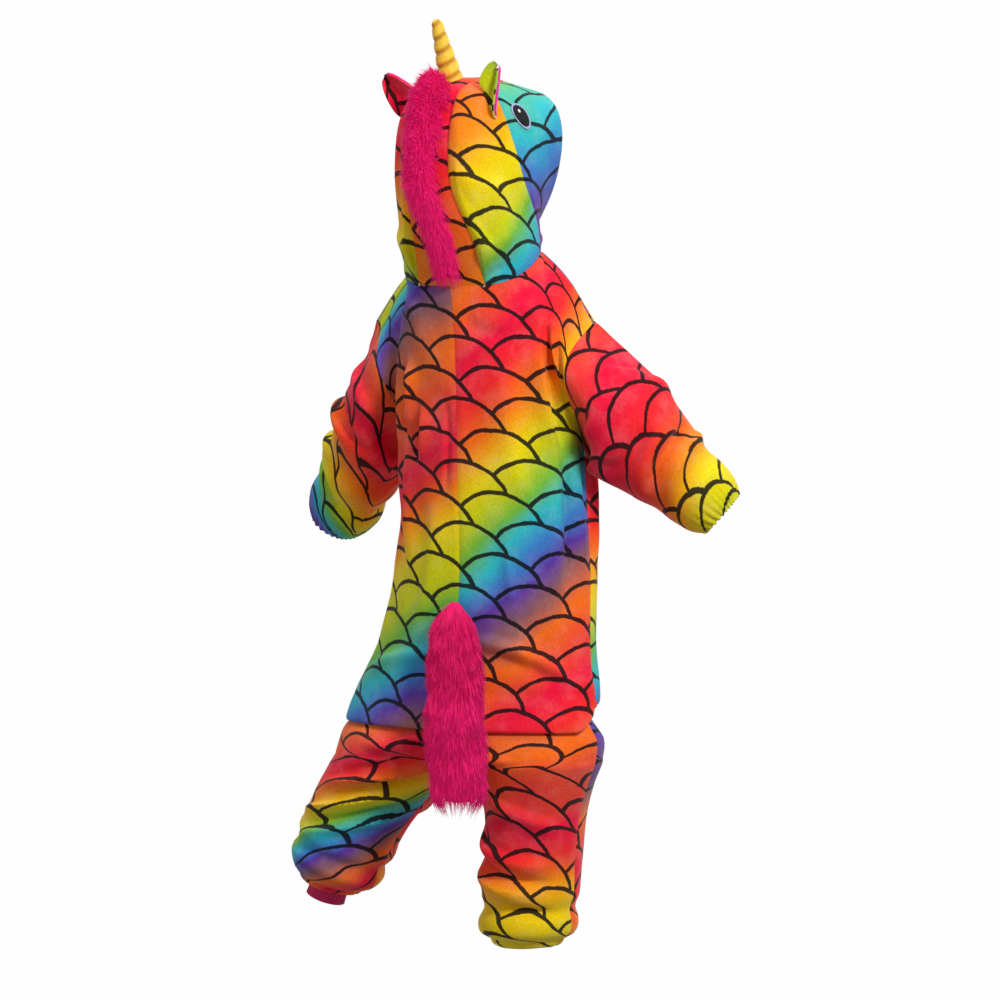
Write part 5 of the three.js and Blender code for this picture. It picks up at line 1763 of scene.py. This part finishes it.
@dataclass
class Horn:
    """The stuffed horn: satin rings that narrow to a round tip, with a thread wound into a groove."""

    at: float = 0.5
    lift: float = -0.4
    lean: tuple[float, float, float] = (0.14, 0.27, 1.0)
    tall: float = 84.0
    base: float = 17.0
    tip: float = 7.0
    turns: float = 4.6
    groove: float = 0.15

    def build(self, wardrobe: Wardrobe) -> None:
        """Makes the horn: radius by height, less a groove by a power of a cosine, and fine puckers into it."""
        seat = on_strip(np.array(0.0), np.array(self.at), self.lift)
        axis = unit(np.array(self.lean))
        across = unit(np.array([1.0, 0, 0]) - axis * axis[0])
        ahead = np.cross(axis, across)
        angle = (np.arange(72) / 72 * 2 * math.pi)[None, :]
        rise = np.linspace(0, 1, 140)[:, None]
        wound = self.turns * rise - angle / (2 * math.pi)
        near = np.abs(np.cos(math.pi * wound))
        groove = near**7
        tip = np.sqrt(np.clip(1 - np.maximum(0, (rise - 0.9) / 0.102) ** 2, 0.0, 1))
        pucker = 0.012 * np.sin(17 * angle + 9 * wound) * near**2
        seam = 1 - 0.05 * (1 - smooth(rise, 0.0, 0.05))
        radius = mix(self.base, self.tip, rise) * (1.015 - self.groove * groove + pucker) * tip * seam
        rings = (
            seat
            + axis * (self.tall * rise)[..., None]
            + across * (radius * np.cos(angle))[..., None]
            + ahead * (radius * np.sin(angle))[..., None]
        )
        mesh = closed_rings(rings, seat, seat + axis * (self.tall + 0.3))
        # Painted shade: the horn's colour darkens into the spiral groove.
        mesh.dye_and_painted_light = np.concatenate([(1 - groove**0.7).ravel() * 0.9 + 0.05, [0.4, 1.0]])
        piece = mesh.build("horn_cloth_piece", [wardrobe.get(Finish.SATIN)], 80)
        settle(piece, "horn_cloth", "horn")


@dataclass
class Pile:
    """Long pile: tapered strands of three sides, rooted in a base."""

    seed: int
    widest: float = 1.4
    stray: float = 2.9

    def strands(self, paths: Array, wide: Array) -> Mesh:
        """Closed tapered tubes on paths of four points, three corners to a ring and a point at the tip.

        Args:
            paths: Strands by four points by three.
            wide: Each strand's width at its root.

        Returns:
            The mesh.
        """
        count = len(paths)
        way = unit(np.gradient(paths, axis=1))
        side = unit(np.cross(way, np.array([0.3, 1.0, 0.2])))
        other = np.cross(way, side)
        taper = np.array([0.75, 1.0, 0.7])
        turns = np.arange(3) / 3 * 2 * math.pi
        ring = side[:, :3, None] * np.cos(turns)[:, None] + other[:, :3, None] * np.sin(turns)[:, None]
        rings = paths[:, :3, None] + ring * (wide[:, None] / 2 * taper)[..., None, None]
        points = np.concatenate([rings.reshape(count, 9, 3), paths[:, 3:4]], axis=1)
        faces = [[0, 2, 1]]
        for j in range(2):
            for i in range(3):
                k, a = (i + 1) % 3, 3 * j
                faces += [[a + i, a + k, a + 3 + k], [a + i, a + 3 + k, a + 3 + i]]
        faces += [[6, 7, 9], [7, 8, 9], [8, 6, 9]]
        every = (np.arange(count) * 10)[:, None, None] + np.array(faces)
        mesh = Mesh(points.reshape(-1, 3), every.reshape(-1, 3)).outward()
        random = np.random.default_rng(self.seed)
        # Painted shade: each strand is darker at its root, deep in the pile, and lighter towards its tip; strands
        # also differ in tone at random.
        tone = random.uniform(0.2, 0.85, count)[:, None] + np.array([-0.3] * 3 + [0.0] * 3 + [0.12] * 3 + [0.2])
        mesh.dye_and_painted_light = np.clip(tone, 0, 1).ravel()
        return mesh


def with_base(base: Mesh, strands: Mesh, tone: float) -> Mesh:
    """A pile's base and strands as one mesh; the base takes one low tone, a painted shade under the strands."""
    faces = np.concatenate([base.faces, strands.faces + len(base.vertices)])
    dye_and_painted_light = np.concatenate([np.full(len(base.vertices), tone), strands.dye_and_painted_light])
    return Mesh(np.concatenate([base.vertices, strands.vertices]), faces, dye_and_painted_light)


@dataclass
class Mane(Pile):
    """Long pile along the hood's strip, in soft clumps that fall to both sides."""

    seed: int = 5
    count: int = 9000
    clumps: int = 120

    def dome(self, angle: Array, at: Array, share: Array) -> Array:
        """A point of the mane's form: half an ellipse over the strip, at a share of its size."""
        tall = along(MANE, at)
        edge = tall[..., 0] / along(HOOD, at)[..., 0]
        over = np.clip(edge * np.cos(angle) * share, -1.15, 1.15)
        return on_strip(over, at, 1.0 + tall[..., 1] * np.sin(angle) * share)

    def build(self, wardrobe: Wardrobe) -> None:
        """Makes the base and the strands, whose tips gather by clumps and droop down the back."""
        random = np.random.default_rng(self.seed)
        at, angle = np.meshgrid(np.linspace(0.565, 0.846, 60), np.linspace(0, math.pi, 17), indexing="ij")
        lock = 0.56 + 0.05 * np.sin(31 * angle + 3 * np.sin(190 * at)) * np.sin(angle)
        dome = self.dome(angle, at, lock)
        flat = on_strip(0.4 * np.cos(angle[:, ::-1][:, 1:-1]), at[:, 1:-1], 1.0)
        rings = np.concatenate([dome, flat], axis=1)
        base = closed_rings(rings, rings[0].mean(axis=0), rings[-1].mean(axis=0))
        n = self.count
        place = random.uniform(0.56, 0.85, n)
        turn = np.arccos(random.uniform(-0.99, 0.99, n))
        centre_at = random.uniform(0.56, 0.852, self.clumps)
        centres = np.stack([centre_at, random.uniform(0.1, math.pi - 0.1, self.clumps)], -1)
        scaled = np.stack([place * 22, turn], -1)[:, None] - centres * np.array([22, 1])
        nearest = np.argmin((scaled**2).sum(-1), axis=1)
        pull = random.uniform(0.1, 0.6, n)
        end_turn = mix(turn, centres[nearest, 1], pull) + random.normal(0, 0.1, n)
        end_place = mix(place, centres[nearest, 0], pull) + random.uniform(-0.006, 0.02, n)
        lock_long = random.uniform(1.0, 1.3, self.clumps)[nearest]
        long = lock_long * random.uniform(0.86, 1.04, n)
        t = np.array([0.0, 0.38, 0.72, 1.0])
        share = mix(0.42, long[:, None], 1 - (1 - t) ** 1.4)
        angles = np.clip(mix(turn[:, None], end_turn[:, None], t**1.6), 0.02, math.pi - 0.02)
        ats = np.clip(mix(place[:, None], end_place[:, None], t**1.8), 0.552, 0.866)
        paths = self.dome(angles, ats, share)
        paths = paths + random.normal(0, self.stray, (n, 1, 3)) * (t**1.5)[:, None]
        paths[:, 1:, 2] -= 2.0 * t[1:] ** 2
        strands = self.strands(paths, random.uniform(0.8, self.widest, n))
        piece = with_base(base, strands, 0.1).build("mane_pile", [wardrobe.get(Finish.PILE)], 180)
        settle(piece, "pile", "mane")


@dataclass
class Tail(Pile):
    """The long pile tail that hangs from the back seam over the hem."""

    seed: int = 9
    count: int = 10500
    clumps: int = 80
    root: float = 440.0
    end: float = 724.0

    def form(self, down: Array, angle: Array, share: Array) -> Array:
        """A point of the tail's form at a share of its half width and depth."""
        x, y, half, deep = np.moveaxis(along(TAIL, np.clip(down, TAIL[0, 0], TAIL[-1, 0])), -1, 0)
        return stack(x + half * share * np.cos(angle), y + deep * share * np.sin(angle), -down)

    def build(self, wardrobe: Wardrobe) -> None:
        """Makes the base and the strands, which follow the form down and gather in locks at their tips."""
        random = np.random.default_rng(self.seed)
        rows, round_ = np.linspace(self.root - 2, 700, 50), np.arange(28) / 28 * 2 * math.pi
        down, angle = np.meshgrid(rows, round_, indexing="ij")
        lock = 0.74 + 0.06 * np.sin(9 * angle + 0.02 * down) * np.sin(0.06 * down + 4 * np.sin(angle))
        crown = np.sqrt(np.clip((down - self.root + 4) / 9, 0.1, 1))
        rings = self.form(down, angle, lock * crown * (1 - 0.35 * smooth(down, 660, 700)))
        base = closed_rings(rings, rings[0].mean(axis=0), rings[-1].mean(axis=0) - np.array([0, 0, 3]))
        n = self.count
        start = self.root + random.uniform(0, 1, n) * 236
        turn = random.uniform(-0.6, math.pi + 0.6, n)
        rear = random.uniform(0, 1, n) < 0.1
        turn = np.where(rear, random.uniform(math.pi, 2 * math.pi, n), turn)
        long = random.uniform(26, 62, n)
        tip = np.minimum(start + long, self.end - random.uniform(0, 26, n))
        tip = tip - 14 * (1 - smooth(start, self.root, self.root + 22)) * random.uniform(0, 1, n)
        locks = self.clumps * 3
        centre_down = random.uniform(450, self.end, locks)
        centres = np.stack([centre_down, random.uniform(-0.5, math.pi + 0.5, locks)], -1)
        scaled = np.stack([tip / 22, turn * 1.9], -1)[:, None] - centres * np.array([1 / 22, 1.9])
        nearest = np.argmin((scaled**2).sum(-1), axis=1)
        pull = random.uniform(0.1, 0.65, n)
        end_turn = mix(turn, centres[nearest, 1], pull * (~rear)) + random.normal(0, 0.07, n)
        t = np.array([0.0, 0.34, 0.7, 1.0])
        downs = mix(start[:, None], tip[:, None], t**1.15)
        angles = mix(turn[:, None], end_turn[:, None], t**1.5)
        far = random.uniform(0.9, 1.14, locks)[nearest] * random.uniform(0.9, 1.03, n)
        root_share = 0.62 * np.sqrt(np.clip((start - self.root + 5) / 10, 0.2, 1))
        out = mix(root_share[:, None], far[:, None], 1 - (1 - t) ** 1.7)
        paths = self.form(downs, angles, out)
        paths = paths + random.normal(0, self.stray, (n, 1, 3)) * np.array([1.2, 0.7, 1.0]) * (t**1.5)[:, None]
        strands = self.strands(paths, random.uniform(0.9, 1.5, n))
        piece = with_base(base, strands, 0.05).build("tail_pile", [wardrobe.get(Finish.PILE)], 180)
        settle(piece, "pile", "tail")


@dataclass
class Cuff:
    """A rib cuff: a short waisted tube with knitted ribs along it."""

    side: Side
    ribs: int = 44
    rise: float = 0.45

    def surface(self, u: Array, v: Array) -> Array:
        """The tube, narrowed by a half sine below its top, with ribs by a sine round it."""
        waist = 1 - CUFF_WAIST * np.sin(math.pi * np.minimum(1, v * 0.7))
        rib = self.rise * np.sin(2 * math.pi * self.ribs * u)
        radius = (CUFF_RADIUS - CUFF_CLEAR) * waist + rib - self.rise / 2
        return leg_end(self.side, 2 * math.pi * u, radius, v * CUFF_LONG[self.side] - CUFF_ABOVE[self.side])

    def build(self, wardrobe: Wardrobe) -> None:
        """Makes the cuff."""
        u, v = np.meshgrid(np.arange(352) / 352, np.linspace(0, 1, 14))
        points = self.surface(u, v)
        out = ways_out(points, -self.side.value, True)
        closed = closed_round(points)
        cloth = np.stack([lengths(closed, 1), -lengths(closed, 0)], -1)
        mesh = wall_of(points, out, RIB, True, cloth, np.zeros(u.shape)).plain()
        piece = mesh.build(f"leg_cuff_{self.side.word}_rib", [wardrobe.get(Finish.RIB)])
        settle(piece, "rib", f"leg_cuff_{self.side.word}")


Place = tuple[float, float, float]


def blocks(centres: Array, along_: Array, across: Array, out: Array, size: Place) -> Mesh:
    """Small blocks whose tops are drawn in, one at each centre.

    Args:
        centres: Where their bases' middles lie.
        along_: Ways along the row.
        across: Ways across the row.
        out: Ways out of the cloth.
        size: Length along, across and out.

    Returns:
        The mesh, twelve triangles a block as six quads.
    """
    corners = np.array([[a, b, c] for c in (0, 1) for a, b in ((-1, -1), (1, -1), (1, 1), (-1, 1))], float)
    shrink = np.where(corners[:, 2:] > 0, 0.7, 1.0)
    a, b = corners[:, 0:1] * shrink * size[0] / 2, corners[:, 1:2] * shrink * size[1] / 2
    points = centres[:, None] + along_[:, None] * a + across[:, None] * b + out[:, None] * corners[:, 2:] * size[2]
    quads = np.array([[0, 3, 2, 1], [4, 5, 6, 7], [0, 1, 5, 4], [1, 2, 6, 5], [2, 3, 7, 6], [3, 0, 4, 7]])
    faces = (np.arange(len(centres)) * 8)[:, None, None] + quads
    return Mesh(points.reshape(-1, 3), faces.reshape(-1, 4)).outward()


def paced(points: Array, pace: float, shift: float = 0.0) -> tuple[Array, Array]:
    """Points at an even pace on a line of points, with the line's way at each.

    Args:
        points: The line.
        pace: Distance between the new points.
        shift: Where the first one lies.

    Returns:
        Points and unit ways.
    """
    far = np.concatenate([[0], np.cumsum(np.linalg.norm(np.diff(points, axis=0), axis=-1))])
    at = np.arange(shift, far[-1], pace)
    found = np.stack([np.interp(at, far, points[:, k]) for k in range(3)], -1)
    return found, unit(np.gradient(found, axis=0))


def ways_at(out: Array, count: int) -> Array:
    """A line's ways out, taken at another count of even places."""
    old, new = np.linspace(0, 1, len(out)), np.linspace(0, 1, count)
    return unit(np.stack([np.interp(new, old, out[:, k]) for k in range(3)], -1))


@dataclass
class Zips:
    """The seat zip under the back's hem and the front zip: tapes, teeth, sliders and pulls."""

    tape: float = 1.2
    reach: float = 0.96
    gap: float = 0.6
    drop: float = 0.7

    def seat_tape(self, across: Array, down: Array) -> Array:
        """The tape's outer face, just inside the edge of the seat's cloth."""
        edge = np.full_like(across, SEAT_ZIP + ZIP_CLEAR)
        inside = -PLUSH - self.gap - 0.3
        halves = [on_section(side, Face.BACK, np.abs(across), edge, inside) for side in Side]
        point = np.where((across < 0)[..., None], halves[1], halves[0])
        return stack(point[..., 0], point[..., 1], -down)

    def middle(self, v: Array) -> tuple[Array, Array, Array]:
        """The front zip's line with its ways across and out, between the two front edges."""
        zero = np.zeros_like(v)
        left, right = on_body(Side.LEFT, Face.FRONT, zero, v), on_body(Side.RIGHT, Face.FRONT, zero, v)
        line = (left + right) / 2
        down = unit(np.gradient(line, axis=0))
        across = unit(left - right)
        return line, across, unit(np.cross(down, across))

    def front_tape(self, over: Array, v: Array) -> Array:
        """The tape's outer face: flat beside the chain, which stands out in a smooth step."""
        line, across, out = self.middle(v[:, 0])
        rise = CHAIN_RISE * (1 - smooth(np.abs(over), 2.2, 4.0)) - PLUSH - SEAM - self.drop
        return line[:, None] + across[:, None] * over[..., None] + out[:, None] * rise[..., None]

    def tape_piece(self, name: str, points: Array, facing: int, wardrobe: Wardrobe) -> None:
        """A tape from its outer face."""
        out = ways_out(points, facing, False)
        cloth = np.stack([lengths(points, 1), -lengths(points, 0)], -1)
        mesh = wall_of(points, out, self.tape, False, cloth, np.zeros(points.shape[:2])).plain()
        piece = mesh.build(f"{name}_woven", [wardrobe.get(Finish.TAPE)])
        settle(piece, "zip_tape", name)

    def teeth(self, name: str, line: Array, out: Array, wardrobe: Wardrobe) -> None:
        """Two rows of teeth that mesh on a line, at the zip's pitch."""
        parts = []
        for hand, shift in ((1, 0.0), (-1, ZIP_PITCH / 2)):
            spots, way = paced(line, ZIP_PITCH, shift + 1)
            facing = ways_at(out, len(spots))
            across = unit(np.cross(facing, way))
            parts.append(blocks(spots + across * hand * 0.9, way, across, facing, (1.3, 2.6, 0.8)))
        piece = join(parts).build(f"{name}_teeth", [wardrobe.get(Finish.TEETH)], 20)
        settle(piece, "zip_plastic")

    def build(self, wardrobe: Wardrobe) -> None:
        """Makes tapes and teeth, and finishes the sliders and pulls."""
        rows = np.linspace(SEAT_ZIP - TAPE_ABOVE, SEAT_ZIP + 9, 7)
        across, down = np.meshgrid(spread((-self.reach, self.reach, 130)), rows)
        self.tape_piece("seat_zip_tape", self.seat_tape(across, down), -1, wardrobe)
        over = np.linspace(-0.9, 0.9, 300)
        line = self.seat_tape(over, np.full_like(over, SEAT_ZIP - 0.5))
        outward = unit((line - np.array([-4.0, -4.0, 0])) * np.array([1, 1, 0]))
        self.teeth("seat_zip", line + outward * 0.05, outward, wardrobe)
        rows = np.concatenate([np.linspace(-8 / 9, 0, 50)[:-1], np.linspace(ARMPIT, 528, 90)])
        over, v = np.meshgrid(np.linspace(-11, 11, 23), rows)
        self.tape_piece("front_zip_tape", self.front_tape(over, v), 1, wardrobe)
        line, _, out = self.middle(rows[3:])
        chain = CHAIN_RISE - PLUSH - SEAM - self.drop
        self.teeth("front_zip", line + out * (chain + 0.02), out, wardrobe)
        for name in ("front_zip_slider", "front_zip_pull", "seat_zip_slider", "seat_zip_pull"):
            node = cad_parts[name]
            node.data.materials.clear()
            node.data.materials.append(wardrobe.get(Finish.PULL))


@dataclass
class Stitching:
    """Rows of topstitches beside the front zip, of short stretched beads of thread."""

    long: float = 3.2
    pace: float = 4.4
    thick: float = 0.55

    def row(self, points: Array, out: Array) -> Mesh:
        """Stitches on a line: eight-sided beads with a point at each end."""
        spots, way = paced(points, self.pace)
        facing = ways_at(out, len(spots))
        side = unit(np.cross(facing, way))
        spots = spots + facing * 0.1
        ends = np.stack([spots - way * self.long / 2, spots + way * self.long / 2], 1)
        belt = np.stack([spots + way_ * self.thick for way_ in (side, facing, -side, -facing)], 1)
        points = np.concatenate([ends, belt], 1)
        faces = [[0, 2 + (i + 1) % 4, 2 + i] for i in range(4)] + [[1, 2 + i, 2 + (i + 1) % 4] for i in range(4)]
        every = (np.arange(len(spots)) * 6)[:, None, None] + np.array(faces)
        return Mesh(points.reshape(-1, 3), every.reshape(-1, 3)).outward()

    def build(self, wardrobe: Wardrobe) -> None:
        """Sews along both sides of the front zip."""
        rows = []
        v = np.concatenate([np.linspace(-0.86, 0, 60)[:-1], np.linspace(ARMPIT, 536, 120)])
        for side in Side:
            u = np.full_like(v, 0.055)
            line = on_body(side, Face.FRONT, u, v)
            aside = unit(line - on_body(side, Face.FRONT, 0 * v, v))
            out = unit(np.cross(unit(np.gradient(line, axis=0)), aside)) * side.value
            rows.append(self.row(line, out))
        piece = join(rows).build("front_stitches", [wardrobe.get(Finish.THREAD)], 60)
        settle(piece, "printed_plush")


# ---------- Setting ----------
@dataclass
class Studio:
    """A lit white wall behind the costume, soft lights, and the camera."""

    azimuth: float = 208.0
    elevation: float = 4.0
    distance: float = 8.0
    lens: float = 214.9
    aim: tuple[float, float, float] = (-0.0355, -0.0189, -0.308)
    wall_far: float = 2400.0
    wall_half: float = 3000.0

    def wall(self) -> None:
        """The wall, square to the camera; it glows evenly, and is clear from its back."""
        way = math.radians(self.azimuth)
        ahead, right = np.array([-math.sin(way), math.cos(way), 0]), np.array([math.cos(way), math.sin(way), 0])
        over, up = np.meshgrid(np.linspace(-1, 1, 9) * self.wall_half, np.linspace(-1, 1, 9) * self.wall_half)
        points = ahead * self.wall_far + over[..., None] * right + up[..., None] * np.array([0, 0, 1])
        mesh = Mesh(points.reshape(-1, 3), faces_between(9, 9, 0, False, True))
        finish, t, shader, where = start_material("studio paper")
        grain = t.noise(where, 3.0, 3.0)
        paper = t.blend(grain, shade(253, 253, 254), shade(255, 255, 255))
        shader.inputs["Base Color"].default_value = (0.0, 0.0, 0.0, 1.0)
        shader.inputs["Roughness"].default_value = 1.0
        shader.inputs["Specular IOR Level"].default_value = 0.0
        t.feed(shader.inputs["Emission Color"], paper)
        shader.inputs["Emission Strength"].default_value = 1.0
        back = t.node("NewGeometry").outputs["Backfacing"]
        clear = t.node("BsdfTransparent").outputs[0]
        mixed = t.node("MixShader", {0: back, 1: shader.outputs[0], 2: clear}).outputs[0]
        end = next(n for n in finish.node_tree.nodes if n.type == "OUTPUT_MATERIAL")
        t.feed(end.inputs["Surface"], mixed)
        mesh.build("studio_wall", [finish])

    def light(self, name: str, place: Place, size: float, power: float, colour: Colour = (1, 1, 1)) -> None:
        """A square area light that faces the costume."""
        data = bpy.data.lights.new(name, "AREA")
        data.size, data.energy, data.color = size, power, colour
        lamp = bpy.data.objects.new(name, data)
        lamp.location = place
        aim = Vector((0, 0, -0.3)) - Vector(place)
        lamp.rotation_euler = aim.to_track_quat("-Z", "Y").to_euler()
        bpy.context.scene.collection.objects.link(lamp)

    def camera(self) -> None:
        """The camera behind the costume and on its right, level with its chest."""
        way, rise = math.radians(self.azimuth), math.radians(self.elevation)
        level = math.cos(rise)
        off = Vector((math.sin(way) * level, -math.cos(way) * level, math.sin(rise))) * self.distance
        data = bpy.data.cameras.new("camera")
        data.lens, data.sensor_width = self.lens, 36.0
        data.clip_end = 50.0
        camera = bpy.data.objects.new("camera", data)
        camera.location = Vector(self.aim) + off
        camera.rotation_euler = (-off).to_track_quat("-Z", "Y").to_euler()
        bpy.context.scene.collection.objects.link(camera)
        bpy.context.scene.camera = camera

    def build(self) -> None:
        """Sets wall, lights, world and camera."""
        self.wall()
        self.light("key", (-2.9, 1.7, 1.7), 0.9, 118.0, (1.0, 0.985, 0.96))
        self.light("fill", (2.4, 2.6, 0.6), 2.2, 17.0, (0.95, 0.97, 1.0))
        self.light("front", (-1.2, -3.0, 1.4), 2.4, 40.0)
        self.light("top", (0.2, 0.3, 2.6), 1.4, 36.0)
        world = bpy.data.worlds.new("studio")
        world.use_nodes = True
        back = next(n for n in world.node_tree.nodes if n.type == "BACKGROUND")
        back.inputs["Color"].default_value = (0.93, 0.95, 1.0, 1.0)
        back.inputs["Strength"].default_value = 0.33
        bpy.context.scene.world = world
        bpy.context.scene.view_settings.view_transform = "Standard"
        self.camera()


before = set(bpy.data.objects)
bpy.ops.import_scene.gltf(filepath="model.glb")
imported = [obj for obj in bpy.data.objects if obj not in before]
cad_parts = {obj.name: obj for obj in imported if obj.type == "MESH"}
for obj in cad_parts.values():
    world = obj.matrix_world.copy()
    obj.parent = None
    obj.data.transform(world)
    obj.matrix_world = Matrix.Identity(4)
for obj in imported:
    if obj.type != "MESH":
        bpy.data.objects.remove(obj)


def main() -> None:
    """Builds the costume in order."""
    logging.basicConfig(level=logging.INFO, format="%(name)s %(message)s")
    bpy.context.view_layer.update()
    wardrobe = Wardrobe()
    Body().build(wardrobe)
    Sleeves().build(wardrobe)
    Hood().build(wardrobe)
    for side in Side:
        Eye(side).build(wardrobe)
        Ear(side).build(wardrobe)
        Cuff(side).build(wardrobe)
    Horn().build(wardrobe)
    Mane().build(wardrobe)
    Tail().build(wardrobe)
    Zips().build(wardrobe)
    Stitching().build(wardrobe)
    Studio().build()


if __name__ == "__main__":
    main()
